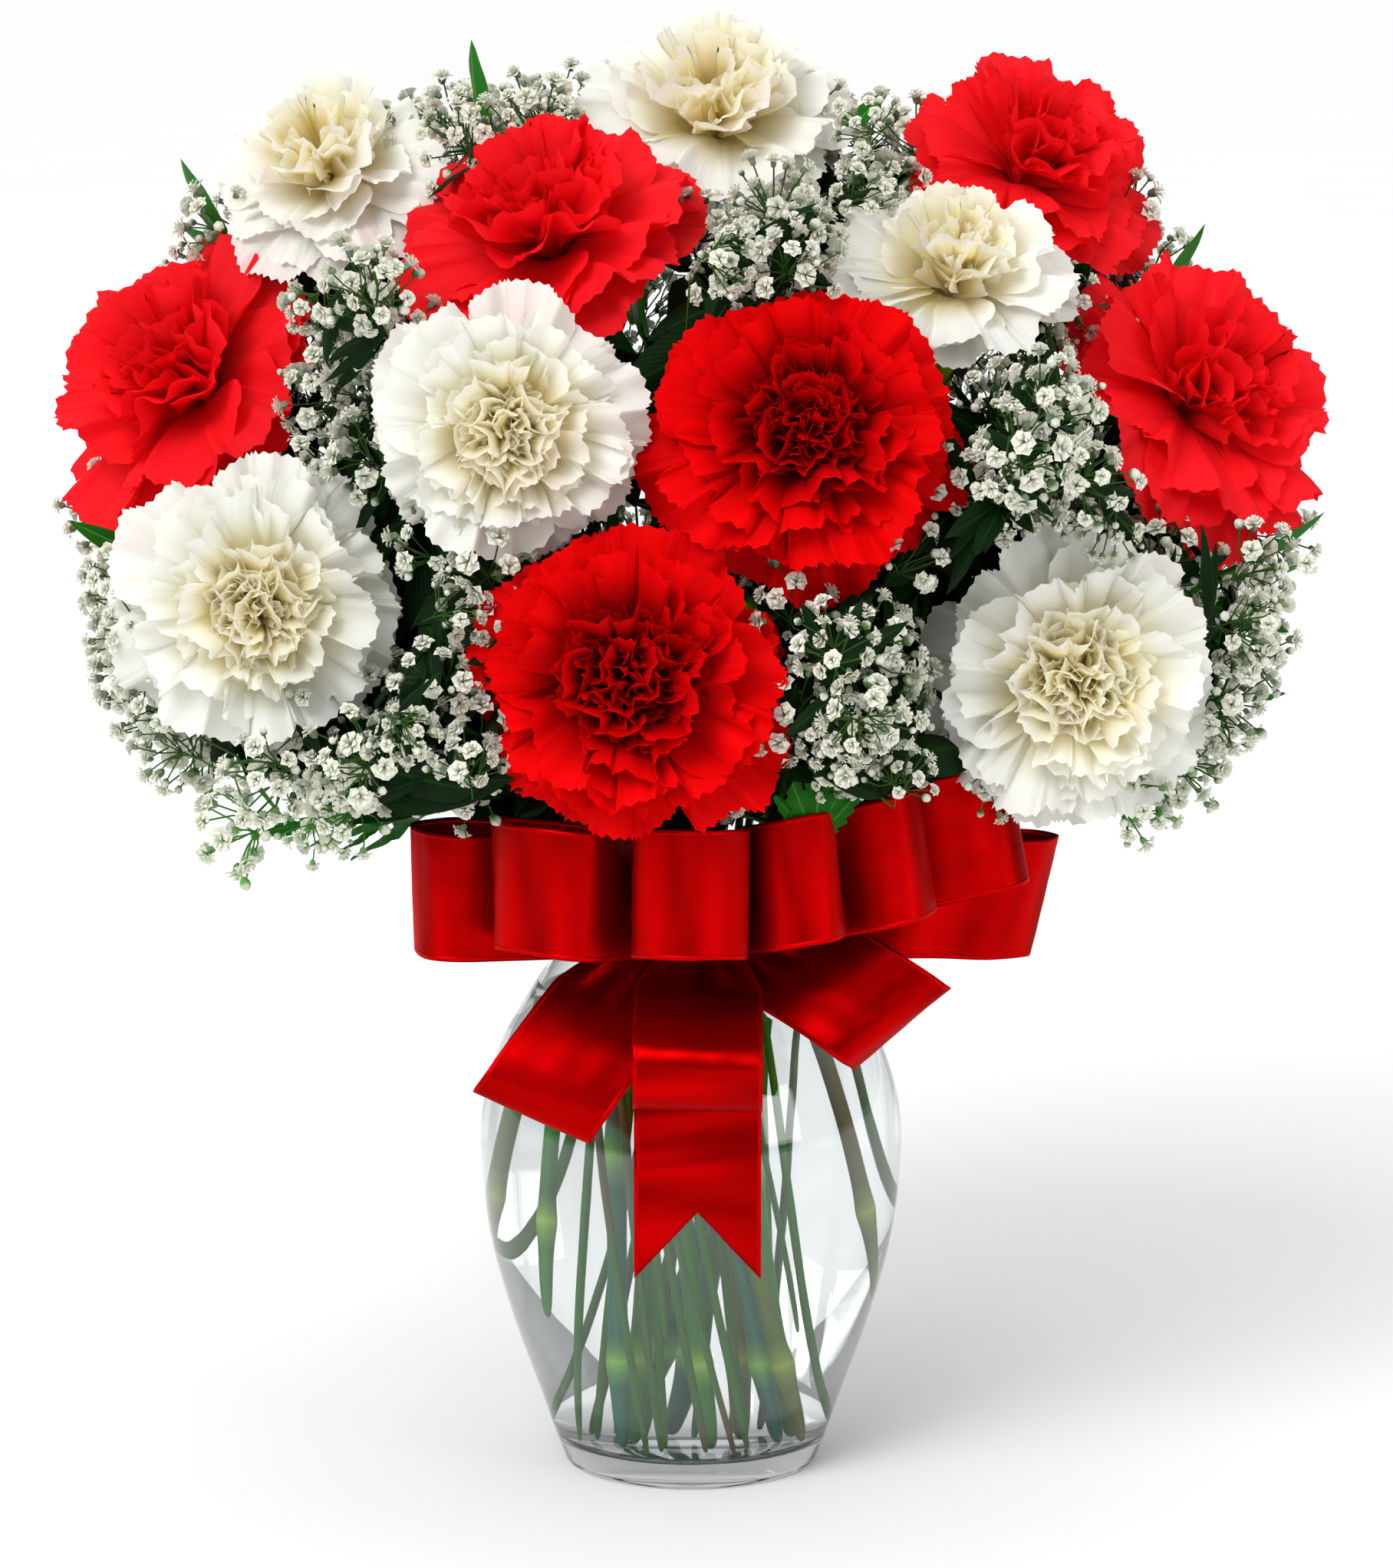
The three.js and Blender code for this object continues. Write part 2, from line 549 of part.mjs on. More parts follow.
/** The narrow ribbon that grips the middle of the bow and runs round the vase's neck. */
function tieShape() {
  const band = [[0, 0], [1, 0], [1, 1], [0, 1], [0, 0]].map(([out, up]) => new THREE.Vector2(
    TIE.inner + out * TIE.thickness, TIE.low + up * (TIE.high - TIE.low)));
  const ring = new THREE.LatheGeometry(band, 32).rotateX(Math.PI / 2);
  const [bottom, top] = [KNOT.outline[0][1], KNOT.outline.at(-1)[1]];
  const barrel = [[0, bottom], ...KNOT.outline, [0, top]].map((corner) => new THREE.Vector2(...corner));
  const knot = new THREE.LatheGeometry(barrel, 12).rotateX(Math.PI / 2).translate(...KNOT.at);
  return join([ring, knot]);
}

// ---- Putting it together ---------------------------------------------------------------------

const bouquet = new THREE.Group();

function add(name, geometry, colour, roughness) {
  const material = new THREE.MeshStandardMaterial({ color: colour, roughness, metalness: 0 });
  const mesh = new THREE.Mesh(weld(geometry), material);
  mesh.name = name;
  bouquet.add(mesh);
}

const flowers = CARNATIONS.map(({ at, open, lean, ...rest }) => {
  const axis = flowerAxis(open, lean);
  const base = point(at).addScaledVector(axis, (-rest.width * HEAD_DEPTH) / 2);
  const top = base.clone().addScaledVector(axis, -STEM.calyxLength);
  return { ...rest, middle: point(at), axis, base, top };
});
const sprays = SPRAYS.map(({ to, ...rest }) => {
  const root = new THREE.Vector3(0, 0, EXIT_HEIGHT);
  return { ...rest, top: root.lerp(point(to), BREATH.fork), shapes: [] };
});
const greens = GREENS.map(({ tip, kind, ...rest }) => {
  const outward = point(tip).sub(new THREE.Vector3(0, 0, EXIT_HEIGHT)).normalize();
  return { ...rest, kind, top: point(tip).addScaledVector(outward, -LAST_LEAF * kind.leaf) };
});
assignSlots([...flowers, ...sprays, ...greens]);

const widestCalyx = Math.max(...STEM.calyx.map(([radius]) => radius));
for (const flower of flowers) {
  const throat = flower.base.clone().addScaledVector(flower.axis, -CLEARANCE);
  flower.turn = new THREE.Quaternion().setFromUnitVectors(UP, flower.axis);
  flower.curve = stemCurve(flower, STEM.radius, [flower.top, throat]);
  const halves = new THREE.Vector3(1, 1, HEAD_DEPTH).multiplyScalar(flower.width / 2);
  standEllipsoid(`head_${flower.name}`, flower.middle, flower.turn, halves);
  standBeads(beadsAlong(flower.curve, STEM.radius + 0.6), `stem_${flower.name}`);
  const calyxFrom = 1 - STEM.calyxLength / flower.curve.getLength();
  standBeads(beadsAlong(flower.curve, widestCalyx, calyxFrom), `stem_${flower.name}`);
}

standEllipsoid("bow", point(BOW_KEEP_OUT.centre), new THREE.Quaternion(), point(BOW_KEEP_OUT.halves));

for (const spray of sprays) {
  spray.curve = stemCurve(spray, BREATH.stem, [spray.top]);
  spray.shapes.push(stemShape(spray.curve, plainStations(spray.curve, BREATH.stem), THIN_STEM.sides));
  standBeads(beadsAlong(spray.curve, BREATH.stem), spray.name);
}
for (const green of greens) {
  green.curve = stemCurve(green, green.kind.stem, [green.top]);
  standBeads(beadsAlong(green.curve, green.kind.stem), green.name);
}
for (const green of greens) {
  const stem = stemShape(green.curve, plainStations(green.curve, green.kind.stem), THIN_STEM.sides);
  green.shapes = [stem, ...leaves(green.curve, green.kind, green.name)];
}
growClusters(sprays, flowers);

add("vase", vaseShape(), COLOUR.glass, 0.05);
for (const flower of flowers) {
  const head = headShape(flower.width).applyQuaternion(flower.turn).translate(...flower.base);
  add(`carnation_head_${flower.name}`, head, flower.name.startsWith("red") ? COLOUR.red : COLOUR.white, 0.7);
  const stem = stemShape(flower.curve, carnationStations(flower.curve), STEM.sides);
  add(`carnation_stem_${flower.name}`, stem, COLOUR.stem, 0.6);
}
for (const spray of sprays) add(spray.name, join(spray.shapes), COLOUR.breathStem, 0.7);
for (const green of greens) {
  add(green.name, join(green.shapes), green.kind === FERN ? COLOUR.fern : COLOUR.leaf, 0.45);
}
for (const loop of LOOPS) add(`bow_loop_${loop.name}`, loopShape(loop), COLOUR.ribbon, 0.35);
add("bow_tail", tailShape(), COLOUR.ribbon, 0.35);
add("bow_tie", tieShape(), COLOUR.ribbon, 0.35);

export default bouquet;
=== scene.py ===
import math

import bmesh
import bpy
import numpy as np
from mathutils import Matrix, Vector


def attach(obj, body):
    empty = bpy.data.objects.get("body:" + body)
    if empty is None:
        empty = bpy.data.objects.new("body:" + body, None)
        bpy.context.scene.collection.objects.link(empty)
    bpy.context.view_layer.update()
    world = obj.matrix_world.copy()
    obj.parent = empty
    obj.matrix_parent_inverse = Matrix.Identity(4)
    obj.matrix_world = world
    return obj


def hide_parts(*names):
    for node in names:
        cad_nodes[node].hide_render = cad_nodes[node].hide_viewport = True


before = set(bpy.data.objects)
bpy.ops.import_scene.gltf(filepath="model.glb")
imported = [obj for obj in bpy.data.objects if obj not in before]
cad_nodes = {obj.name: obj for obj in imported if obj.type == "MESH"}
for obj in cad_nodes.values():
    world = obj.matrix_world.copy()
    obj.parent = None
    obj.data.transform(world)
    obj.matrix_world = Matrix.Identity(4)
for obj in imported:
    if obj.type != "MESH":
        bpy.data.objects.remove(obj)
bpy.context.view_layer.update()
scene = bpy.context.scene


# ---- Camera ----------------------------------------------------------------------------------
# The eye stands in front at the height of the flowers and looks ten degrees down on the bow. It sees
# the bouquet with a long lens, so that the sides of the vase stay nearly parallel.
EYE_DISTANCE = 1.6
EYE_LIFT = math.radians(10)
EYE_AIM = Vector((0.0017, 0, 0.208))
LENS_MM = 122.5

camera = bpy.data.objects.new("camera", bpy.data.cameras.new("camera"))
camera.data.lens = LENS_MM
camera.location = EYE_AIM + EYE_DISTANCE * Vector((0, -math.cos(EYE_LIFT), math.sin(EYE_LIFT)))
camera.rotation_euler = (math.radians(90) - EYE_LIFT, 0, 0)
scene.collection.objects.link(camera)
scene.camera = camera


# ---- Studio ----------------------------------------------------------------------------------
# A pale floor runs out past the view, under an even sky that is brightest overhead. A soft lamp
# stands high in front on the left, a weaker one low on the right, and a wide soft sun on the left.
FLOOR_RADIUS, FLOOR_SIDES = 60, 64
SKY_AT_HORIZON, SKY_OVERHEAD = 0.28, 1.15
LAMPS_AIM = (0, 0, 0.25)
LAMPS = [
    {"name": "key_lamp", "at": (-1.3, -2.0, 1.9), "size": 1.1, "watts": 26},
    {"name": "fill_lamp", "at": (1.9, -1.5, 0.7), "size": 0.9, "watts": 9},
]
SUN = {"strength": 1.15, "spread": 35, "from_above": 42, "from_left": 28}  # degrees


def put(tree, kind, inputs=(), **settings):
    """Adds a node to a tree. An input, by its name or number, gets a value or another node's socket."""
    node = tree.nodes.new(kind)
    for name, value in settings.items():
        setattr(node, name, value)
    for key, value in dict(inputs).items():
        if isinstance(value, bpy.types.NodeSocket):
            tree.links.new(value, node.inputs[key])
        else:
            node.inputs[key].default_value = value
    return node


def result_of(tree, kind, inputs=(), **settings):
    """The first output of a new node."""
    return put(tree, kind, inputs, **settings).outputs[0]


def ramp(tree, value, low, high, first=0.0, last=1.0):
    """A value's place between low and high, as a value from the first to the last."""
    return result_of(tree, "ShaderNodeMapRange", {
        "Value": value, "From Min": low, "From Max": high, "To Min": first, "To Max": last})


def noise(tree, place, scale=1.0, detail=2.0, **more):
    return result_of(tree, "ShaderNodeTexNoise", {
        "Vector": place, "Scale": scale, "Detail": detail, **more})


def own_place(tree):
    return put(tree, "ShaderNodeTexCoord").outputs["Object"]


def blend_colours(tree, share, first, second):
    """A colour that goes from the first to the second as the share goes from 0 to 1."""
    ends = [c if isinstance(c, bpy.types.NodeSocket) else (*c, 1) for c in (first, second)]
    return put(tree, "ShaderNodeMix", {0: share, 6: ends[0], 7: ends[1]}, data_type="RGBA").outputs[2]


def finish_of(name, **sockets):
    """A new material. The sockets of its shader that are given here are the same all over it."""
    made = bpy.data.materials.new(name)
    made.use_nodes = True
    shader = made.node_tree.nodes["Principled BSDF"]
    for socket, value in sockets.items():
        shader.inputs[socket.replace("_", " ")].default_value = value
    return made, made.node_tree, shader


def circle(sides):
    """Angles evenly round a circle."""
    return np.linspace(0, 2 * math.pi, sides, endpoint=False)


def plain_mesh(name, corners, faces=(), edges=()):
    mesh = bpy.data.meshes.new(name)
    mesh.from_pydata(np.reshape(corners, (-1, 3)).tolist(), list(edges), list(faces))
    return mesh


def piece(name, mesh, *materials):
    """A finished object, with its place in its mesh."""
    made = bpy.data.objects.new(name, mesh)
    scene.collection.objects.link(made)
    for material in materials:
        mesh.materials.append(material)
    return made


floor_edge = [(FLOOR_RADIUS * math.cos(a), FLOOR_RADIUS * math.sin(a), 0) for a in circle(FLOOR_SIDES)]
floor_paint, tree, shader = finish_of("floor_paint", Roughness=0.85)
mottle = noise(tree, own_place(tree), 3.0)
tree.links.new(blend_colours(tree, mottle, (0.90, 0.90, 0.90), (0.93, 0.93, 0.93)),
               shader.inputs["Base Color"])
floor_mesh = plain_mesh("floor", floor_edge, [range(FLOOR_SIDES)])
piece("floor", floor_mesh, floor_paint)

sky = bpy.data.worlds.new("sky")
scene.world = sky
sky.use_nodes = True
way = put(sky.node_tree, "ShaderNodeTexCoord").outputs["Generated"]
height = put(sky.node_tree, "ShaderNodeSeparateXYZ", {0: way}).outputs["Z"]
background = sky.node_tree.nodes["Background"]
background.inputs["Color"].default_value = (1, 1, 1, 1)
sky.node_tree.links.new(ramp(sky.node_tree, height, 0, 1, SKY_AT_HORIZON, SKY_OVERHEAD),
                        background.inputs["Strength"])


def light(name, kind, at, aim, **settings):
    lamp = bpy.data.objects.new(name, bpy.data.lights.new(name, kind))
    for key, value in settings.items():
        setattr(lamp.data, key, value)
    lamp.location = at
    lamp.rotation_euler = (Vector(aim) - Vector(at)).to_track_quat("-Z", "Y").to_euler()
    scene.collection.objects.link(lamp)


for lamp in LAMPS:
    light(lamp["name"], "AREA", lamp["at"], LAMPS_AIM, energy=lamp["watts"], size=lamp["size"])
above, left = math.radians(SUN["from_above"]), math.radians(SUN["from_left"])
sun_way = (-math.cos(above) * math.sin(left), -math.cos(above) * math.cos(left), math.sin(above))
light("sun", "SUN", sun_way, (0, 0, 0), energy=SUN["strength"], angle=math.radians(SUN["spread"]))
scene.view_settings.view_transform = "Standard"


# ---- The vase --------------------------------------------------------------------------------
# A blown glass ginger vase with a thick solid foot, a round shoulder, a narrow neck and a flared,
# fire-polished lip. It is turned from the outline that the frame's vase gives.
GLASS_SIDES = 96
STEPS_PER_RING = 6
PUNT = [(0, 0.0022), (0.012, 0.002), (0.024, 0.0009), (0.031, 0.0001)]  # the hollow under the foot


def line_through(points, steps):
    """A smooth line through points, with this many steps between each two."""
    points = np.asarray(points, float)
    p = np.vstack([2 * points[:1] - points[1:2], points, 2 * points[-1:] - points[-2:-1]])
    t = np.concatenate([[0], np.cumsum(np.sqrt(np.linalg.norm(np.diff(p, axis=0), axis=1)))])
    line = []
    for i in range(1, len(p) - 2):
        for at in np.linspace(t[i], t[i + 1], steps, endpoint=False):
            def mix(a, b, j, k):
                return (a * (t[k] - at) + b * (at - t[j])) / (t[k] - t[j])
            a = [mix(p[i - 1 + j], p[i + j], i - 1 + j, i + j) for j in range(3)]
            b = [mix(a[j], a[j + 1], i - 1 + j, i + 1 + j) for j in range(2)]
            line.append(mix(b[0], b[1], i, i + 1))
    return np.array(line + [points[-1]])


def quads(index, turned_over=False):
    """Faces between neighbours in a grid of corner numbers."""
    faces = np.stack([index[:-1, :-1], index[:-1, 1:], index[1:, 1:], index[1:, :-1]], -1).reshape(-1, 4)
    return (faces[:, [0, 3, 2, 1]] if turned_over else faces).tolist()


def numbered(rows, columns, first=0):
    return first + np.arange(rows * columns).reshape(rows, columns)


def closed(index):
    """A grid of corner numbers whose last column meets its first."""
    return np.column_stack([index, index[:, 0]])


def turned(name, outline, sides=GLASS_SIDES):
    """A closed shape turned about Z from an outline of radii and heights, from the axis to the axis."""
    outline, angle = np.asarray(outline), circle(sides)
    ring = np.stack([np.cos(angle), np.sin(angle)], -1)
    rise = np.broadcast_to(outline[:, None, 1:], (len(outline), sides, 1))
    corners = np.concatenate([outline[:, None, :1] * ring[None], rise], 2)
    return merged(plain_mesh(name, corners, quads(closed(numbered(len(outline), sides)))))


def merged(mesh, near=1e-6):
    """The mesh with its doubled corners joined and its flat faces gone."""
    work = bmesh.new()
    work.from_mesh(mesh)
    bmesh.ops.remove_doubles(work, verts=work.verts, dist=near)
    bmesh.ops.dissolve_degenerate(work, edges=work.edges, dist=near)
    bmesh.ops.recalc_face_normals(work, faces=work.faces)
    work.to_mesh(mesh)
    work.free()
    return mesh


def smooth(mesh):
    mesh.shade_smooth()
    return mesh


def corners_of(mesh):
    found = np.empty(len(mesh.vertices) * 3)
    mesh.vertices.foreach_get("co", found)
    return found.reshape(-1, 3)


def relief(tree, shader, height, strength, distance, **below):
    """Raises a shader's surface by a height, over other normals if given. Returns the new normals."""
    normal = result_of(tree, "ShaderNodeBump", {
        "Height": height, "Strength": strength, "Distance": distance, **below})
    tree.links.new(normal, shader.inputs["Normal"])
    return normal


vase_corners = corners_of(cad_nodes["vase"].data)
vase_rings = np.unique(np.round(np.stack([
    vase_corners[:, 2], np.hypot(vase_corners[:, 0], vase_corners[:, 1])], 1), 4), axis=0)
heights = np.unique(vase_rings[:, 0])
lip_height = heights[-1]


def radii_at(z):
    return vase_rings[vase_rings[:, 0] == z, 1]


outer_wall = [(radii_at(z).max(), z) for z in heights]
inner_wall = [(radii_at(z).min(), z) for z in heights if 0.01 < z < lip_height]
foot_height = vase_rings[(vase_rings[:, 1] < 1e-3) & (vase_rings[:, 0] > 0), 0].min()
floor_radius = np.sort(radii_at(foot_height))[1]
dished_floor = [(floor_radius - 0.004, foot_height), (floor_radius * 0.55, foot_height - 0.0006),
                (0, foot_height - 0.001)]
outside_line = np.maximum(line_through(PUNT + outer_wall, STEPS_PER_RING), 0)
inside_line = line_through(
    [(radii_at(lip_height).min(), lip_height), *inner_wall[::-1], *dished_floor], STEPS_PER_RING)

clear_glass, tree, shader = finish_of(
    "clear_glass", Base_Color=(0.925, 0.94, 0.945, 1), Transmission_Weight=1.0, IOR=1.5, Roughness=0.0)
relief(tree, shader, noise(tree, own_place(tree), 28.0, 1.0), 0.05, 0.002)
vase = piece("vase_of_glass", smooth(turned("vase_of_glass", [*outside_line, *inside_line])), clear_glass)
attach(vase, "root")
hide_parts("vase")


# ---- Water -----------------------------------------------------------------------------------
# Clean water fills the vase to the foot of its neck and climbs a little where it meets the glass. It
# reaches a hair into the glass, so that no film of air shows between them.
WATER_LEVEL = 0.146
WATER_IN_GLASS = 0.00006
MENISCUS = 0.0012

wetted = [(r + WATER_IN_GLASS, z - (WATER_IN_GLASS if r < floor_radius else 0))
          for r, z in inside_line[::-1] if z < WATER_LEVEL]
wetted[0] = (0, wetted[0][1])
wall_radius = WATER_IN_GLASS + np.interp(
    WATER_LEVEL + MENISCUS, *np.array([(z, r) for r, z in inner_wall]).T)
surface = [(wall_radius, WATER_LEVEL + MENISCUS), (wall_radius - 0.0008, WATER_LEVEL + 0.4 * MENISCUS),
           (wall_radius - 0.0025, WATER_LEVEL), (0.012, WATER_LEVEL), (0, WATER_LEVEL)]
clear_water, tree, shader = finish_of(
    "clear_water", Base_Color=(0.955, 0.97, 0.965, 1), Transmission_Weight=1.0, IOR=1.333, Roughness=0.0)
relief(tree, shader, noise(tree, own_place(tree), 60.0, 1.0), 0.03, 0.001)
water = piece("water", smooth(turned("water", [*wetted, *surface])), clear_water)
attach(water, "root")


# ---- Stems of the carnations -----------------------------------------------------------------
# Round waxy stems with a swollen, paler node every few centimetres and a long green calyx that holds
# the petals. Each is rounded from the frame's stem, whose sides would draw in if they weren't swelled.
STEM_SIDES = 5
STEM_SWELL = 0.3  # of the radius, which the rounding takes away again
PLAIN_RADIUS, NODE_RADIUS = 0.0023, 0.0037
JOINED = 1e-5  # corners of the frame this close are one


def joined(node):
    """A frame node's mesh to work on, with its doubled corners joined."""
    work = bmesh.new()
    work.from_mesh(cad_nodes[node].data)
    bmesh.ops.remove_doubles(work, verts=work.verts, dist=JOINED)
    return work


def quads_of(node):
    """A frame node's mesh for rounding, with its triangles paired into quads."""
    work = joined(node)
    bmesh.ops.join_triangles(work, faces=work.faces, angle_face_threshold=0.7, angle_shape_threshold=1.2,
                             cmp_seam=False)
    return work


def rounded(work, name, *materials):
    """A finished object with a smooth surface through a worked mesh."""
    mesh = bpy.data.meshes.new(name)
    work.to_mesh(mesh)
    work.free()
    made = piece(name, smooth(mesh), *materials)
    rounding = made.modifiers.new("rounding", "SUBSURF")
    rounding.levels = rounding.render_levels = 2
    return made


def local_radius(corner, sides):
    return min(edge.calc_length() for edge in corner.link_edges) / (2 * math.sin(math.pi / sides))


def swollen_stem(node, name, material):
    work = quads_of(node)
    work.normal_update()
    swelling = work.verts.layers.float.new("swelling")
    for corner in work.verts:
        corner[swelling] = (local_radius(corner, STEM_SIDES) - PLAIN_RADIUS) / (NODE_RADIUS - PLAIN_RADIUS)
    for corner, offset in [(c, c.normal * STEM_SWELL * local_radius(c, STEM_SIDES)) for c in work.verts]:
        corner.co += offset
    return rounded(work, name, material)


def stretched(tree, place, scale):
    return result_of(tree, "ShaderNodeMapping", {"Vector": place, "Scale": scale})


def mark_of(tree, name):
    """The value that a mesh's corners have under this name."""
    return put(tree, "ShaderNodeAttribute", attribute_name=name).outputs["Fac"]


def stem_skin(name, plain, pale, streak):
    """Waxy skin that goes paler where the stem swells, with fine streaks and blotches of another tint."""
    skin, tree, shader = finish_of(name, Roughness=0.42, Specular_IOR_Level=0.4)
    fibre = noise(tree, stretched(tree, own_place(tree), (260, 260, 22)), 1.0, 3.0)
    blotch = ramp(tree, noise(tree, own_place(tree), 22.0), 0.5, 0.72)
    colour = blend_colours(tree, fibre, plain, [0.72 * c for c in plain])
    colour = blend_colours(tree, blotch, colour, streak)
    colour = blend_colours(tree, mark_of(tree, "swelling"), colour, pale)
    tree.links.new(colour, shader.inputs["Base Color"])
    relief(tree, shader, fibre, 0.25, 0.0004)
    return skin


CARNATION_SKINS = [stem_skin(name, plain, pale, streak) for name, plain, pale, streak in (
    ("blue_green_stem", (0.0, 0.30, 0.17), (0.42, 0.95, 0.14), (0.0, 0.05, 0.12)),
    ("mid_green_stem", (0.02, 0.44, 0.0), (0.55, 1.0, 0.10), (0.0, 0.09, 0.02)),
    ("olive_stem", (0.16, 0.30, 0.0), (0.50, 0.75, 0.06), (0.24, 0.0, 0.02)))]
for number, node in enumerate(sorted(n for n in cad_nodes if n.startswith("carnation_stem_"))):
    stem = swollen_stem(node, node.replace("carnation_stem", "flower_stem"), CARNATION_SKINS[number % 3])
    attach(stem, "root")
    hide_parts(node)


# ---- Carnations ------------------------------------------------------------------------------
# Some sixty soft petals leave the throat of the calyx of a full head, and forty that of an open one. A
# petal is a broad fan with a pinked edge. The outer ones spread wide in shallow waves, and the inner ones
# stand up and crumple against each other. The young heads low in front are full, the others wide open.
PETAL_ROWS, PETAL_COLUMNS = 10, 42
GOLDEN_ANGLE = math.pi * (3 - math.sqrt(5))
PETALS_OF_A_KIND = 4
EDGE_VARIES = 11  # degrees either way
PLEATS, PLEAT_DEPTH = 6.5, 0.010  # across a petal, and over the head's radius
TOOTH = 0.025  # length of the teeth, over the head's radius

# For each kind of petal, from the outermost to the heart: length over the head's radius, half angle of
# the fan, rise at the claw and at the edge (degrees), size and number of waves, cupping across, how far
# its edge curls back, and how high in the head its foot stands.
PETAL_WORDS = ("length", "fan", "claw", "edge", "wave", "waves", "cup", "curl", "base")
FULL = [dict(zip(PETAL_WORDS, kind)) for kind in (
    (1.10, 32, 50, -10, 0.060, 1.7, 0.00, 0.10, 0),
    (1.06, 34, 58, 8, 0.070, 1.9, 0.02, 0.08, 0),
    (1.00, 35, 66, 27, 0.082, 2.0, 0.04, 0.08, 0),
    (0.90, 34, 74, 46, 0.085, 1.9, 0.07, 0.06, 0),
    (0.80, 32, 82, 60, 0.110, 2.0, 0.10, 0.06, 0),
    (0.66, 44, 84, 54, 0.110, 1.6, 0.08, 0.05, 0.12),
    (0.50, 50, 82, 48, 0.100, 1.5, 0.07, 0.05, 0.24),
    (0.34, 58, 80, 42, 0.085, 1.4, 0.06, 0.05, 0.36))]
OPEN = [dict(zip(PETAL_WORDS, kind)) for kind in (
    (1.12, 37, 50, -6, 0.060, 1.2, -0.02, 0.12, 0),
    (1.10, 38, 56, 4, 0.075, 1.4, 0.00, 0.10, 0),
    (1.08, 37, 62, 16, 0.080, 1.5, 0.03, 0.08, 0),
    (1.00, 35, 74, 42, 0.090, 1.6, 0.06, 0.05, 0),
    (0.92, 31, 84, 68, 0.090, 1.8, 0.10, 0.02, 0),
    (0.74, 36, 80, 64, 0.090, 1.8, 0.08, 0.03, 0))]


def soft_step(x):
    x = np.clip(x, 0, 1)
    return x * x * (3 - 2 * x)


def mark(mesh, name, values, kind="FLOAT"):
    """Gives each corner of a mesh a value under a name."""
    values = np.asarray(values, np.int32 if kind == "INT" else np.float32).ravel()
    mesh.attributes.new(name, kind, "POINT").data.foreach_set(
        "vector" if kind == "FLOAT_VECTOR" else "value", values)


def lay_flat(mesh, name, flat):
    """Gives a mesh a UV map from a flat place for each corner."""
    corner_of = np.empty(len(mesh.loops), np.int32)
    mesh.loops.foreach_get("vertex_index", corner_of)
    places = flat.reshape(-1, 2)[corner_of].astype(np.float32)
    mesh.uv_layers.new(name=name).data.foreach_set("uv", places.ravel())


def petal_mesh(name, shape, draw):
    """One petal of unit radius. It leaves the origin upwards and leans over +Y."""
    along = np.linspace(0, 1, PETAL_ROWS)[:, None] ** 0.8
    across = np.linspace(-1, 1, PETAL_COLUMNS)[None, :]
    half = math.radians(shape["fan"] * draw.uniform(0.88, 1.15))
    angle = across * half * (0.25 + 0.75 * soft_step(along * 1.7))
    lobes = sum(draw.uniform(0.3, 1) * np.sin(k * math.pi * across + draw.uniform(0, 6.3))
                for k in (1, 2, 3))
    teeth = (np.arange(PETAL_COLUMNS) % 2 - 0.5) * draw.uniform(0.4, 1.5, PETAL_COLUMNS)
    rim = 1 - 0.14 * across ** 2 - 0.17 * (np.maximum(np.abs(across) - 0.7, 0) / 0.3) ** 2 + 0.022 * lobes
    reach = shape["length"] * along * (1 + (rim - 1) * along)
    reach = reach + TOOTH * teeth * soft_step((along - 0.88) / 0.12)
    # the line that the middle of the petal follows, from the claw out
    steps = np.linspace(0, 1.4, 80)
    bend = soft_step((steps - 0.05) / 0.5)
    claw = math.radians(shape["claw"])
    edge = math.radians(shape["edge"] + draw.uniform(-EDGE_VARIES, EDGE_VARIES))
    rise = claw + (edge - claw) * bend - shape["curl"] * 6 * np.maximum(steps - 0.8, 0)
    line = np.stack([np.cumsum(np.cos(rise)), np.cumsum(np.sin(rise))], -1) * (steps[1] - steps[0])
    out = reach * np.cos(angle)
    at = np.stack([np.interp(out, steps, line[:, k]) for k in (0, 1)], -1)
    turn = np.interp(out, steps, rise)
    # broad waves that grow towards the edge, smaller ones on the edge itself, and fine pleats
    phase = draw.uniform(0, 2 * math.pi)
    swing = math.pi * shape["waves"] * across + phase + 1.1 * along * draw.uniform(-1, 1)
    grown_to = soft_step(along * 1.15 - 0.12) ** 1.3
    ruffle = np.sin(swing) + 0.42 * grown_to * np.sin(2.3 * swing + draw.uniform(0, 6.3))
    ruffle = ruffle + 0.22 * grown_to ** 3 * np.sin(4.7 * swing + draw.uniform(0, 6.3))
    ruffle = shape["wave"] * grown_to * ruffle + shape["cup"] * across ** 2 * along
    pleats = np.sin(math.pi * PLEATS * (across + 0.05 * np.sin(4 * across)))
    ruffle = ruffle + PLEAT_DEPTH * grown_to * pleats
    sideways = reach * np.sin(angle) * (1 - 1.1 * shape["wave"] * grown_to)
    sideways = sideways + shape["wave"] * 0.5 * grown_to * np.sin(2 * swing + 0.6)
    points = np.stack([sideways, at[..., 0] - np.sin(turn) * ruffle,
                       at[..., 1] + np.cos(turn) * ruffle + shape["base"]], -1)
    mesh = plain_mesh(name, points, quads(numbered(PETAL_ROWS, PETAL_COLUMNS)))
    mark(mesh, "along", np.broadcast_to(along, points.shape[:2]))
    lay_flat(mesh, "petal_map", np.stack(np.broadcast_arrays(across, along), -1))
    return mesh


def kinds_in(name, meshes):
    """A collection of one object for each mesh, kept out of the scene, for a tree to set out."""
    kinds = bpy.data.collections.new(name)
    for i, mesh in enumerate(meshes):
        kinds.objects.link(bpy.data.objects.new(f"{name}_{i:03d}", mesh))
    return kinds


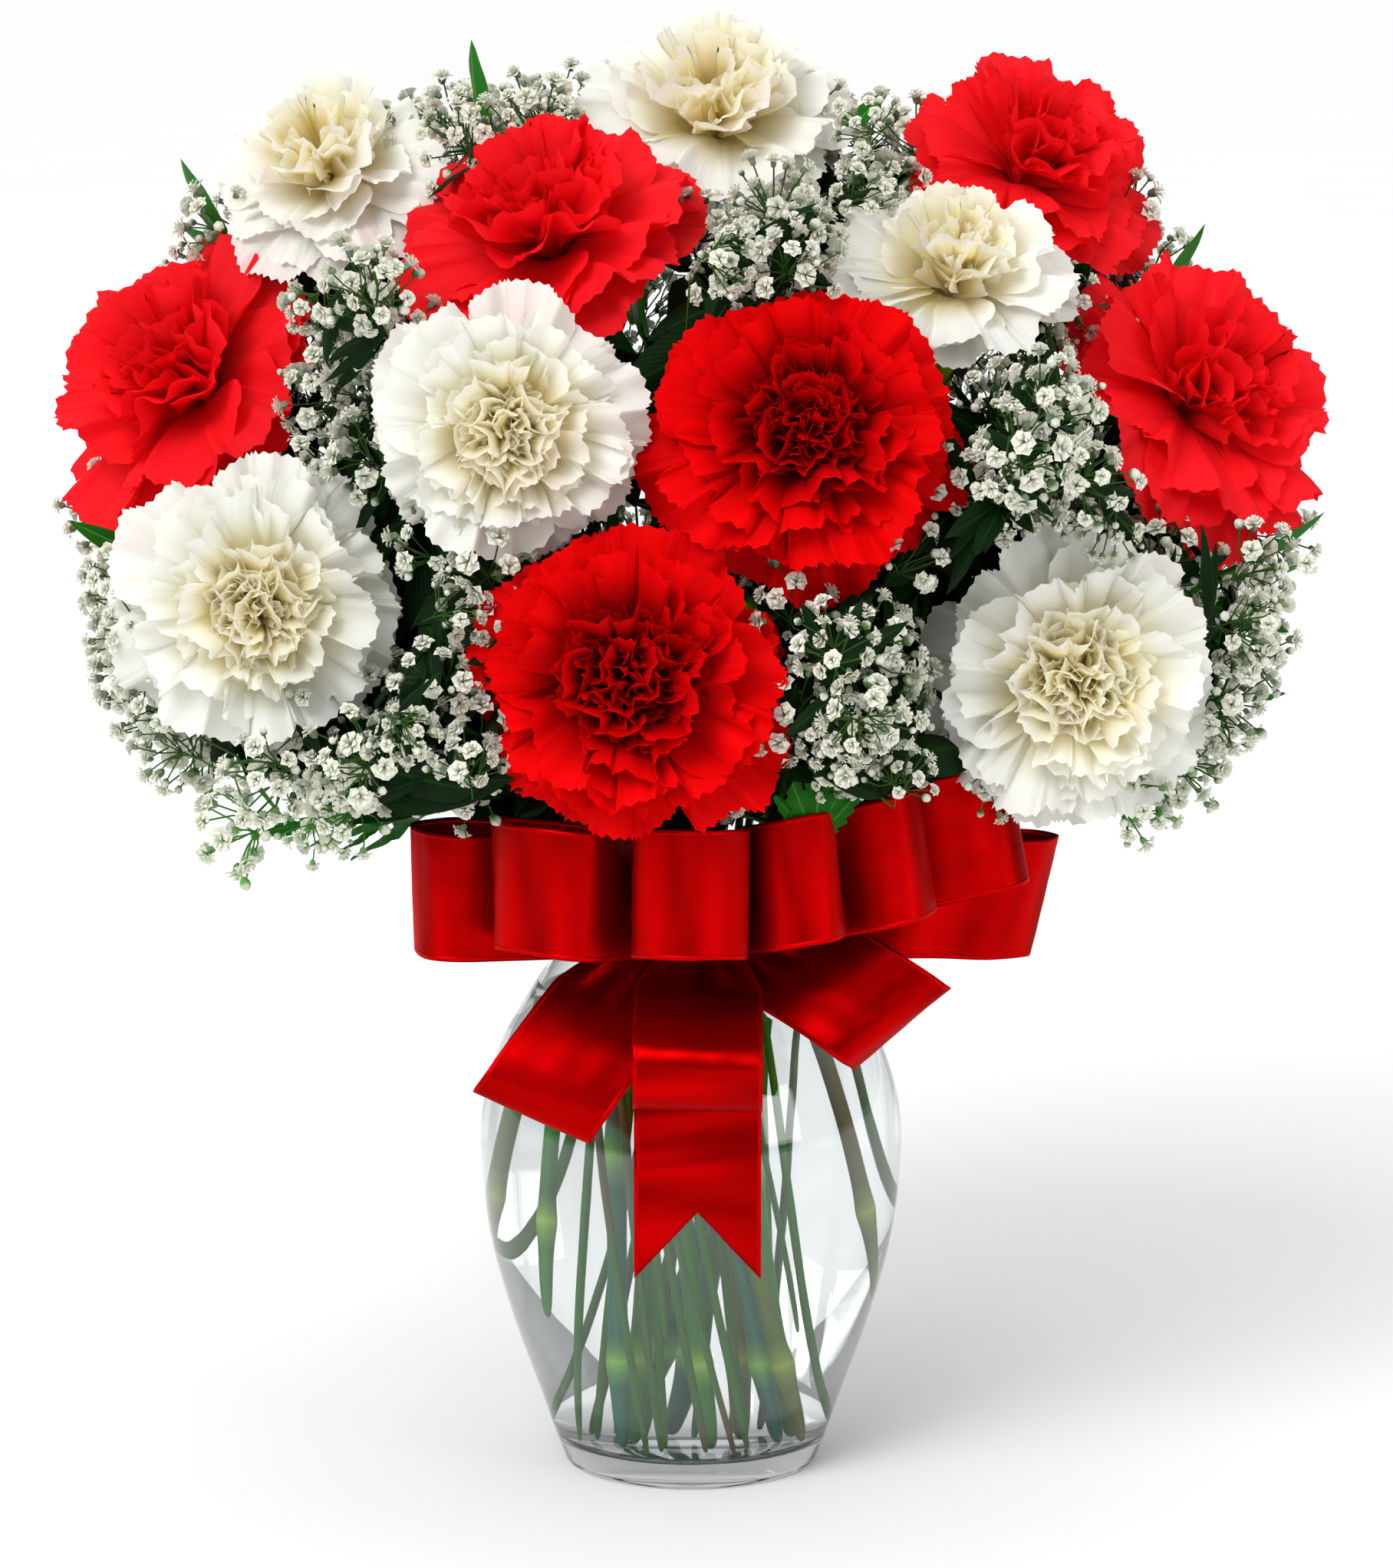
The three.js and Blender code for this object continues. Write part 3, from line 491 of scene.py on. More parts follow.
def new_tree(name, *inputs):
    """A geometry tree with its first and last nodes. Each input is a name and a kind of socket."""
    tree = bpy.data.node_groups.new(name, "GeometryNodeTree")
    tree.interface.new_socket("Geometry", in_out="INPUT", socket_type="NodeSocketGeometry")
    tree.interface.new_socket("Geometry", in_out="OUTPUT", socket_type="NodeSocketGeometry")
    for label, kind in inputs:
        tree.interface.new_socket(label, in_out="INPUT", socket_type="NodeSocket" + kind)
    return tree, put(tree, "NodeGroupInput").outputs, put(tree, "NodeGroupOutput").inputs[0]


def grown(tree, mesh, **values):
    """The plain mesh that a tree makes from a mesh, with the values of its named inputs."""
    seedling = bpy.data.objects.new("seedling", mesh)
    scene.collection.objects.link(seedling)
    growth = seedling.modifiers.new("growth", "NODES")
    growth.node_group = tree
    for label, value in values.items():
        growth[tree.interface.items_tree[label.replace("_", " ")].identifier] = value
    made = bpy.data.meshes.new_from_object(seedling.evaluated_get(bpy.context.evaluated_depsgraph_get()))
    bpy.data.objects.remove(seedling)
    return made


def maths(tree, operation, *terms):
    return result_of(tree, "ShaderNodeMath", dict(enumerate(terms)), operation=operation)


def all_kinds(tree, kinds):
    """A collection's objects as instances, one by one and at the origin."""
    return result_of(tree, "GeometryNodeCollectionInfo", {0: kinds, 1: True, 2: True})


def head_tree():
    """Sets petals out on a golden spiral, from the low outermost ones to the upright heart."""
    tree, given, result = new_tree(
        "head of petals", ("Petals", "Int"), ("Kinds", "Collection"), ("Number of kinds", "Int"),
        ("Of each kind", "Int"), ("Loose", "Float"), ("Uneven", "Float"), ("Finish", "Material"),
        ("Seed", "Int"))

    def jitter(size, offset, looseness="Loose"):
        swing = maths(tree, "MULTIPLY", given[looseness], size)
        return put(tree, "FunctionNodeRandomValue", {
            2: maths(tree, "MULTIPLY", swing, -1.0), 3: swing, 8: maths(tree, "ADD", given["Seed"], offset),
        }, data_type="FLOAT").outputs[1]

    index = result_of(tree, "GeometryNodeInputIndex")
    share = maths(tree, "DIVIDE", index, given["Petals"])
    kind = maths(tree, "FLOOR", maths(tree, "MULTIPLY", share, given["Number of kinds"]))
    which = maths(tree, "ADD", maths(tree, "MULTIPLY", kind, given["Of each kind"]),
                  maths(tree, "MODULO", index, given["Of each kind"]))
    angle = maths(tree, "ADD", maths(tree, "MULTIPLY", index, GOLDEN_ANGLE), jitter(0.22, 1))
    turn = result_of(tree, "ShaderNodeCombineXYZ", {0: jitter(0.14, 2), 1: jitter(0.16, 3), 2: angle})
    set_out = result_of(tree, "GeometryNodeInstanceOnPoints", {
        "Points": result_of(tree, "GeometryNodePoints", {"Count": given["Petals"]}),
        "Instance": all_kinds(tree, given["Kinds"]), "Pick Instance": True, "Instance Index": which,
        "Rotation": result_of(tree, "FunctionNodeEulerToRotation", {0: turn}),
        "Scale": maths(tree, "ADD", jitter(1.0, 4, "Uneven"), 1.0)})
    marked = result_of(tree, "GeometryNodeStoreNamedAttribute", {0: set_out, 2: "heart", 3: share},
                       data_type="FLOAT", domain="INSTANCE")
    real = result_of(tree, "GeometryNodeRealizeInstances", {0: marked})
    tree.links.new(result_of(tree, "GeometryNodeSetMaterial", {0: real, 2: given["Finish"]}), result)
    return tree


def flat_place(tree, uv_map):
    return result_of(tree, "ShaderNodeUVMap", uv_map=uv_map)


def let_light_through(tree, shader, share, colour, **more):
    """Mixes a shader with light that comes through from the other side."""
    lit = result_of(tree, "ShaderNodeBsdfTranslucent", {"Color": colour, **more})
    soft = result_of(tree, "ShaderNodeMixShader", {0: share, 1: shader.outputs[0], 2: lit})
    tree.links.new(soft, tree.nodes["Material Output"].inputs["Surface"])


def petal_finish(name, rim, heart, shade, through, sheen, shine):
    """Soft petal: fine pleats that run to the edge, with painted shade along their folds, a heart of
    another colour (the white's own cream, painted crevice shade on the reds), and shares of light through
    both.
    """
    finish, tree, shader = finish_of(name, Roughness=0.65, Specular_IOR_Level=shine, Sheen_Weight=sheen)
    pleats = noise(tree, stretched(tree, flat_place(tree, "petal_map"), (11, 0.9, 1)), Roughness=0.55)
    deep = maths(tree, "MULTIPLY", ramp(tree, mark_of(tree, "along"), 1.0, 0.78, 0.25),
                 ramp(tree, mark_of(tree, "from_axis"), 0.72, 0.3))
    # The heart colour fills the middle of the head away from the petals' edges: the white's own cream, and
    # on the reds painted shade of the crevices.
    colour = blend_colours(tree, deep, rim, heart)
    # Painted shade: the colour goes toward the shade colour along the pleats' folds, which the same noise
    # raises.
    colour = blend_colours(tree, ramp(tree, pleats, 0.42, 0.70, 0.0, 0.4), colour, shade)
    tree.links.new(colour, shader.inputs["Base Color"])
    normal = relief(tree, shader, pleats, 0.45, 0.0013)
    let_light_through(tree, shader, ramp(tree, deep, 0, 1, *through), colour, Normal=normal)
    return finish


# White: a cream heart of its own. Scarlet and deep red: the darker heart is painted crevice shade. On all
# three the shade colour is painted shade in the pleats.
white_petals = petal_finish("white_petals", (0.93, 0.935, 0.89), (1.0, 0.92, 0.63), (0.90, 0.90, 0.83),
                            (0.34, 0.88), 0.1, 0.12)
scarlet_petals = petal_finish("scarlet_petals", (0.97, 0.012, 0.020), (0.84, 0.006, 0.012),
                              (0.84, 0.008, 0.014), (0.36, 0.34), 0.0, 0.12)
deep_red_petals = petal_finish("deep_red_petals", (0.80, 0.001, 0.002), (0.15, 0.0, 0.001),
                               (0.46, 0.0, 0.001), (0.20, 0.10), 0.0, 0.03)

petals_tree = head_tree()
draw = np.random.default_rng(12)


def petals_for(name, shapes):
    return kinds_in(name, [petal_mesh(f"{name}_{kind}_{i}", shape, draw)
                           for kind, shape in enumerate(shapes) for i in range(PETALS_OF_A_KIND)])


FORMS = {
    "full": dict(petals=62, kinds=petals_for("full_petal", FULL), shapes=FULL, loose=1.2, uneven=0.09,
                 droop=0.04),
    "open": dict(petals=40, kinds=petals_for("open_petal", OPEN), shapes=OPEN, loose=1.3, uneven=0.12,
                 droop=0.06),
}
FULL_HEADS = ("white_4", "white_5", "white_6", "red_5", "red_6")
head_nodes = sorted(n for n in cad_nodes if n.startswith("carnation_head_"))


def head_place(node):
    """Where a frame's head stands: its throat, radius, and the turn that takes +Z to its axis."""
    points, foot = (corners_of(cad_nodes[n].data) for n in (node, node.replace("head", "stem")))
    middle = points.mean(0)
    axis = np.linalg.eigh(np.cov(np.unique(np.round(points, 6), axis=0).T))[1][:, 0]
    axis = axis * np.sign((middle - foot.mean(0)) @ axis)
    along = (points - middle) @ axis
    radius = np.linalg.norm(points - middle - along[:, None] * axis, axis=1).max()
    throat = middle + axis * along.min()
    return throat, radius, np.array(Vector((0, 0, 1)).rotation_difference(Vector(axis)).to_matrix())


def move(mesh, corners):
    mesh.vertices.foreach_set("co", corners.astype(np.float32).ravel())
    mesh.update()


def settle(mesh, throat, radius, turn, droop):
    """Takes a head from its own frame to its place. Its outer petals hang by their weight."""
    at = corners_of(mesh)
    inner = np.empty(len(mesh.vertices), np.float32)
    mesh.attributes["heart"].data.foreach_get("value", inner)
    reach = np.hypot(at[:, 0], at[:, 1])
    mark(mesh, "from_axis", reach)
    at = at @ turn.T * radius
    at[:, 2] -= droop * radius * reach ** 2.5 * (1 - inner)
    move(mesh, at + throat)


for number, node in enumerate(head_nodes):
    which = node.replace("carnation_head_", "")
    form = FORMS["full" if which in FULL_HEADS else "open"]
    red = deep_red_petals if which in FULL_HEADS else scarlet_petals
    finish = white_petals if "white" in which else red
    mesh = grown(petals_tree, bpy.data.meshes.new("throat"), Petals=form["petals"], Kinds=form["kinds"],
                 Number_of_kinds=len(form["shapes"]), Of_each_kind=PETALS_OF_A_KIND, Loose=form["loose"],
                 Uneven=form["uneven"], Finish=finish, Seed=number)
    settle(mesh, *head_place(node), form["droop"])
    head = piece("flower_head_" + which, smooth(mesh))
    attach(head, "root")
    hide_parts(node)


# ---- Baby's breath ---------------------------------------------------------------------------
# Twelve sprays of baby's breath fill the mound between the carnations. Their twigs end in loose clusters
# of white double florets, about 7 mm across, and round buds, on stalks as thin as thread. More clusters
# fill the mound in layers. All of them leave the flowers' faces and the front of the bow free.
CLUSTER_RADIUS = 0.0105  # of the ball that stands for a cluster in the frame
BALL_EDGE, BALL_INRADIUS = 1.05146 * CLUSTER_RADIUS, 0.79465 * CLUSTER_RADIUS
FLORET_RADIUS, BUD_RADIUS = 0.0033, 0.0013
# The number of petals in each ring, their reach, and the heights of their middles and tips.
FLORET_RINGS = [(6, 1.0, 0.20, 0.06), (5, 0.80, 0.46, 0.36), (4, 0.46, 0.68, 0.60)]
FLORET_CUP, CUP_SIDES = [(0.36, 0.02), (0.30, -0.42), (0.06, -0.62)], 4  # radii and heights
BUD_RINGS, BUD_SIDES = [(0.35, -1.15, 1.0), (0.85, -0.5, 0.9), (1.0, 0.15, 0.25), (0.62, 0.85, 0.1)], 6
STALK_RADIUS, TWIG_RADIUS = 0.00028, 0.0005
KINDS_OF_CLUSTER, FLORETS, BUDS = 6, 13, 5
KINDS_OF_FLORET = 3
SIDE_CLUSTERS_AT = (0.011, 0.024)  # back along a twig from its cluster
SIDE_CLUSTER_SIZE, CROWDED_SIZE = 0.8, 0.78
# The mound is a rounded box, here with half its width, its depths and height, and how square it is.
MOUND = {"middle": 0.292, "side": 0.168, "front": 0.140, "back": 0.110, "up": 0.114, "power": 2.6,
         "lowest": 0.212, "steepest": -0.62}
# A layer has its share of the mound's size, how far it keeps from heads, and how far back it goes.
LAYERS = [(1.0, 0.8, 0.2), (0.84, 0.8, 0.04), (0.70, 1.0, 0.0)]
PLACES_IN_A_LAYER, CLUSTERS_APART, LONGEST_STALK = 640, 0.0158, 0.09
BOW_ROOM = {"middle": 0.010, "half": 0.104, "front": -0.03, "top": 0.224}
# Seen from the eye, a place is over a head if it is nearer than this and less far beside it, in radii.
OVER_A_HEAD, COVERS_A_HEAD = {"nearer": -0.3, "beside": 1.24}, {"nearer": -0.25, "beside": 1.12}
LEAN_FROM_BOW, LEAN_FROM_EYE = np.array([0, 0.4, 1.2]), 0.35
TIP_SHOWS = 0.017  # of free view round a sprig's tip
FORK_INWARD, FORK_BELOW = 0.72, 0.035  # where the stalk of a cluster leaves its twig
LEAF_BACK, LEAF_BELOW_LIP = 0.006, 0.004  # back along a twig, and down from the vase's lip
HEAD_MIDDLE = 0.52  # above its throat, over its radius
TO_EYE = np.array([0, -math.cos(EYE_LIFT), math.sin(EYE_LIFT)])
UP = np.array([0, 0, 1.0])


def set_out_tree():
    """Puts shapes at points. Each turns its +Z to the point's way and its +X to the point's side."""
    tree, given, result = new_tree("shapes at points", ("Kinds", "Collection"), ("Finish", "Material"))

    def read(name, kind):
        return result_of(tree, "GeometryNodeInputNamedAttribute", {"Name": name}, data_type=kind)

    turn = result_of(tree, "FunctionNodeAxesToRotation", {
        0: read("way", "FLOAT_VECTOR"), 1: read("side", "FLOAT_VECTOR"),
    }, primary_axis="Z", secondary_axis="X")
    chosen = result_of(tree, "FunctionNodeCompare", {2: read("kind", "INT"), 3: 0}, data_type="INT",
                       operation="GREATER_EQUAL")
    set_out = result_of(tree, "GeometryNodeInstanceOnPoints", {
        "Points": given["Geometry"], "Selection": chosen, "Instance": all_kinds(tree, given["Kinds"]),
        "Pick Instance": True, "Instance Index": read("kind", "INT"), "Rotation": turn,
        "Scale": read("size", "FLOAT_VECTOR")})
    real = result_of(tree, "GeometryNodeRealizeInstances", {0: set_out})
    tree.links.new(result_of(tree, "GeometryNodeSetMaterial", {0: real, 2: given["Finish"]}), result)
    return tree, given, real


def places(name, at, way, side, size, kind, edges=()):
    """Points, and stalks between them, for a tree to set shapes out on. A kind below 0 gets none."""
    mesh = plain_mesh(name, at, edges=edges)
    size = np.asarray(size, float)
    size = size if size.ndim == 2 else np.repeat(size[:, None], 3, 1)
    for label, values in (("way", way), ("side", side), ("size", size)):
        mark(mesh, label, values, "FLOAT_VECTOR")
    mark(mesh, "kind", kind, "INT")
    return mesh


def unit(vectors):
    return vectors / np.linalg.norm(vectors, axis=-1, keepdims=True)


def across_from(way, draw):
    """Directions square to the given ones, turned by chance."""
    way = np.asarray(way)
    return unit(np.cross(way, draw.normal(size=way.shape)))


def floret(name, draw):
    """Three rings of pointed petals over a green cup, of unit radius, open to +Z."""
    corners, faces, green = [], [], []
    for ring, (count, reach, lift, tip) in enumerate(FLORET_RINGS):
        for i in range(count):
            angle = 2 * math.pi * (i + 0.5 * ring) / count + draw.uniform(-0.15, 0.15)
            size = reach * draw.uniform(0.85, 1.1)
            out = np.array([math.cos(angle), math.sin(angle), 0])
            beside = np.array([-out[1], out[0], 0]) * 0.42 * size
            shoulder = out * 0.72 * size + UP * (lift + 0.06)
            first = len(corners)
            corners += [out * 0.08 + UP * (0.15 * ring - 0.1), shoulder + beside,
                        out * size + UP * (tip + draw.uniform(-0.1, 0.12)), shoulder - beside,
                        out * 0.5 * size + UP * (lift - 0.08)]
            green += [0.55, 0.0, 0.0, 0.0, 0.12]
            faces += [[first + k for k in three] for three in ((0, 4, 1), (4, 2, 1), (0, 3, 4), (4, 3, 2))]
    faces += quads(closed(numbered(len(FLORET_CUP), CUP_SIDES, len(corners))), turned_over=True)
    corners += [(r * math.cos(a), r * math.sin(a), z) for r, z in FLORET_CUP for a in circle(CUP_SIDES)]
    mesh = plain_mesh(name, np.array(corners), faces)
    mark(mesh, "green", green + [0.8] * CUP_SIDES * len(FLORET_CUP))
    return mesh


def bud(name):
    """A closed bud of unit radius: white at the top, in a green cup."""
    corners = [(r * math.cos(a), r * math.sin(a), z) for r, z, _ in BUD_RINGS for a in circle(BUD_SIDES)]
    index = numbered(len(BUD_RINGS), BUD_SIDES)
    faces = quads(closed(index)) + [[index[-1, i], index[-1, (i + 1) % BUD_SIDES], len(corners)]
                                    for i in range(BUD_SIDES)]
    mesh = plain_mesh(name, corners + [(0, 0, 1.2)], faces)
    mark(mesh, "green", [g for _, _, g in BUD_RINGS for _ in range(BUD_SIDES)] + [0.05])
    return mesh


def breath_finish():
    """White petals and green stalks, painted near-black inside the mound as its shade, and fresh green
    further down in the vase.
    """
    finish, tree, shader = finish_of("breath_petals", Roughness=0.6, Specular_IOR_Level=0.25)
    mottle = noise(tree, own_place(tree), 55.0)
    white = blend_colours(tree, mottle, (0.80, 0.805, 0.69), (0.90, 0.90, 0.81))
    # Painted shade: the stalks turn near-black green above the lip, inside the mound, and stay fresh green
    # below in the vase.
    shade_in_mound = blend_colours(tree, mottle, (0.014, 0.058, 0.006), (0.062, 0.16, 0.018))
    height = put(tree, "ShaderNodeSeparateXYZ", {0: own_place(tree)}).outputs["Z"]
    stalk = blend_colours(tree, ramp(tree, height, 0.19, 0.23), (0.06, 0.40, 0.02), shade_in_mound)
    colour = blend_colours(tree, mark_of(tree, "green"), white, stalk)
    tree.links.new(colour, shader.inputs["Base Color"])
    relief(tree, shader, mottle, 0.2, 0.0004)
    let_light_through(tree, shader, 0.25, colour)
    return finish


def cluster_tree():
    """Florets and buds at the ends of stalks that follow the edges between points."""
    tree, given, heads = set_out_tree()
    tree.name = "cluster of florets"
    tree.interface.new_socket("Stalk radius", in_out="INPUT", socket_type="NodeSocketFloat")
    lines = result_of(tree, "GeometryNodeMeshToCurve", {"Mesh": given["Geometry"]})
    section = result_of(tree, "GeometryNodeCurvePrimitiveCircle", {
        "Resolution": 3, "Radius": given["Stalk radius"]})
    stalks = result_of(tree, "GeometryNodeCurveToMesh", {"Curve": lines, "Profile Curve": section})
    stalks = result_of(tree, "GeometryNodeStoreNamedAttribute", {0: stalks, 2: "green", 3: 1.0},
                       data_type="FLOAT", domain="POINT")
    both = put(tree, "GeometryNodeJoinGeometry")
    tree.links.new(heads, both.inputs[0])
    tree.links.new(stalks, both.inputs[0])
    tree.links.new(result_of(tree, "GeometryNodeSetMaterial", {0: both.outputs[0], 2: given["Finish"]}),
                   tree.nodes["Group Output"].inputs[0])
    return tree


def cluster_places(draw):
    """The points of one cluster: its foot, its forks, and a floret or bud at each end."""
    middle = UP * CLUSTER_RADIUS
    points, edges = [np.zeros(3), UP * 0.0035], [(0, 1)]
    way, size, kind = [UP] * 2, [1.0, 1.0], [-1, -1]
    forks = []
    for k in range(4):
        angle = 2 * math.pi * k / 4 + draw.uniform(-0.5, 0.5)
        tilt = draw.uniform(0.35, 0.8)
        out = np.array([math.sin(tilt) * math.cos(angle), math.sin(tilt) * math.sin(angle), math.cos(tilt)])
        forks.append(len(points))
        edges.append((1, len(points)))
        points.append(points[1] + out * draw.uniform(0.003, 0.006))
        way.append(out)
        size.append(1.0)
        kind.append(-1)
    for i in range(FLORETS + BUDS):
        flower = i < FLORETS
        rise = 1 - 1.25 * (i + 0.5) / FLORETS if flower else draw.uniform(-0.4, 0.9)
        angle = i * GOLDEN_ANGLE + draw.uniform(-0.25, 0.25)
        flat = math.sqrt(max(0.0, 1 - rise * rise))
        out = np.array([flat * math.cos(angle), flat * math.sin(angle), rise])
        end = middle + out * (draw.uniform(0.0085, 0.0150) if flower else draw.uniform(0.010, 0.0160))
        nearest = min(forks, key=lambda f: np.linalg.norm(points[f] - end))
        bend = (points[nearest] + end) / 2 + draw.normal(size=3) * 0.0007
        edges += [(nearest, len(points)), (len(points), len(points) + 1)]
        points += [bend, end]
        facing = unit(out + draw.normal(size=3) * 0.28)
        way += [facing, facing]
        size += [1.0, FLORET_RADIUS * draw.uniform(0.78, 1.12) if flower
                 else BUD_RADIUS * draw.uniform(0.75, 1.3)]
        kind += [-1, draw.integers(0, KINDS_OF_FLORET) if flower else KINDS_OF_FLORET]
    return places("cluster_places", points, way, across_from(way, draw), size, kind, edges)


breath_petals = breath_finish()
draw = np.random.default_rng(31)
florets = kinds_in("floret", [floret(f"floret_{i}", draw) for i in range(KINDS_OF_FLORET)] + [bud("bud")])
growing = cluster_tree()
clusters = kinds_in("cluster", [
    grown(growing, cluster_places(draw), Kinds=florets, Finish=breath_petals, Stalk_radius=STALK_RADIUS)
    for _ in range(KINDS_OF_CLUSTER)])
setting_out = set_out_tree()[0]
heads_in_the_way = [(throat + turn @ UP * HEAD_MIDDLE * radius, radius) for throat, radius, turn in (
    head_place(node) for node in cad_nodes if node in head_nodes)]


def ball_centres(mesh):
    """Middles of the balls that stand for clusters, found from their untouched faces."""
    mesh.calc_loop_triangles()
    index = np.empty(len(mesh.loop_triangles) * 3, np.int32)
    mesh.loop_triangles.foreach_get("vertices", index)
    faces = corners_of(mesh)[index.reshape(-1, 3)]
    sides = np.linalg.norm(faces - np.roll(faces, 1, 1), axis=2)
    faces = faces[np.abs(sides - BALL_EDGE).max(1) < 3e-5]
    normal = unit(np.cross(faces[:, 1] - faces[:, 0], faces[:, 2] - faces[:, 0]))
    found = []
    for middle in faces.mean(1) - normal * BALL_INRADIUS:
        if all(np.linalg.norm(middle - other) > 0.002 for other in found):
            found.append(middle)
    return np.array(found)


def spray_of_twigs(node, balls):
    """The spray without its balls, and the foot of each ball on its twig."""
    work = joined(node)
    inside = [f for f in work.faces
              if np.linalg.norm(balls - np.array(f.calc_center_median()), axis=1).min() < CLUSTER_RADIUS]
    bmesh.ops.delete(work, geom=inside, context="FACES")
    rims = [e for e in work.edges if e.is_boundary]
    rim = np.array([v.co[:] for e in rims for v in e.verts])
    feet = []
    for ball in balls:
        near = rim[np.linalg.norm(rim - ball, axis=1) < CLUSTER_RADIUS * 1.03]
        feet.append(near.mean(0) if len(near) else ball)
    bmesh.ops.holes_fill(work, edges=rims, sides=0)
    return work, np.array(feet)


def over_bow(at):
    return (at[1] < BOW_ROOM["front"] and abs(at[0] - BOW_ROOM["middle"]) < BOW_ROOM["half"]
            and at[2] < BOW_ROOM["top"])


def beside_and_nearer(at, head):
    """How a place lies for the eye: the way out beside a head, and how much nearer than the head it is."""
    nearer = (at - head) @ TO_EYE
    return at - head - nearer * TO_EYE, nearer


def clear_of_heads(at, inside=0.8, beside=OVER_A_HEAD["beside"]):
    """Whether a place is clear of every head, and of what the eye sees of it."""
    for head, radius in heads_in_the_way:
        aside, nearer = beside_and_nearer(at, head)
        if np.linalg.norm(at - head) < radius * inside \
                or (nearer > OVER_A_HEAD["nearer"] * radius and np.linalg.norm(aside) < radius * beside):
            return False
    return True


def way_out(at):
    """The way that a cluster leans if it would cover part of a head or of the bow, or else nothing."""
    if over_bow(at):
        return LEAN_FROM_BOW
    for head, radius in heads_in_the_way:
        aside, nearer = beside_and_nearer(at, head)
        if nearer > COVERS_A_HEAD["nearer"] * radius \
                and np.linalg.norm(aside) < radius * COVERS_A_HEAD["beside"]:
            return unit(aside) - TO_EYE * LEAN_FROM_EYE
    return None


def mound_share(at):
    """How far out a place lies: 0 in the middle of the mound, 1 on its outside."""
    out = at - [0, 0, MOUND["middle"]]
    halves = np.array([MOUND["side"], MOUND["front"] if out[1] < 0 else MOUND["back"], MOUND["up"]])
    return (np.abs(out / halves) ** MOUND["power"]).sum() ** (1 / MOUND["power"])


def hides_tip(at):
    """Whether a place stands before the tip of a sprig."""
    return any(np.linalg.norm(np.cross(at - tip, TO_EYE)) < TIP_SHOWS and (at - tip) @ TO_EYE > -0.01
               for tip in sprig_tips)


def mound_places():
    """Places spread evenly in layers of the mound, clear of the heads, the sprigs' tips and the bow."""
    made = []
    for i in range(PLACES_IN_A_LAYER):
        rise = 1 - (1 - MOUND["steepest"]) * (i + 0.5) / PLACES_IN_A_LAYER
        flat = math.sqrt(1 - rise * rise)
        way = np.array([flat * math.cos(i * GOLDEN_ANGLE), flat * math.sin(i * GOLDEN_ANGLE), rise])
        outermost = way / mound_share(way + [0, 0, MOUND["middle"]])
        for share, inside, back in LAYERS:
            at = outermost * share + [0, 0, MOUND["middle"]]
            if at[2] > MOUND["lowest"] and at[1] < back and clear_of_heads(at, inside) \
                    and not over_bow(at) and not hides_tip(at):
                made.append(at)
    return made


sprig_nodes = [n for n in cad_nodes if n.startswith(("leaf_sprig_", "fern_tip_"))]
sprig_tips = [at[np.linalg.norm(at - [0, 0, lip_height], axis=1).argmax()]
              for at in (corners_of(cad_nodes[n].data) for n in sprig_nodes)]
spray_nodes = sorted(n for n in cad_nodes if n.startswith("babys_breath_"))
balls_of = {node: ball_centres(cad_nodes[node].data) for node in spray_nodes}
twigs_of = {node: spray_of_twigs(node, balls_of[node]) for node in spray_nodes}
forks_of = {node: np.array([v.co[:] for v in twigs_of[node][0].verts]) for node in spray_nodes}
taken = [ball for balls in balls_of.values() for ball in balls]
filling = {node: [] for node in spray_nodes}
for at in mound_places():
    if min(np.linalg.norm(np.array(taken) - at, axis=1)) < CLUSTERS_APART:
        continue
    inward = at * [FORK_INWARD, FORK_INWARD, 1] - [0, 0, FORK_BELOW]
    nearest = {node: np.linalg.norm(forks - inward, axis=1) for node, forks in forks_of.items()}
    node = min(nearest, key=lambda n: nearest[n].min())
    fork = forks_of[node][nearest[node].argmin()]
    if np.linalg.norm(fork - at) < LONGEST_STALK:
        taken.append(at)
        filling[node].append((at, fork))

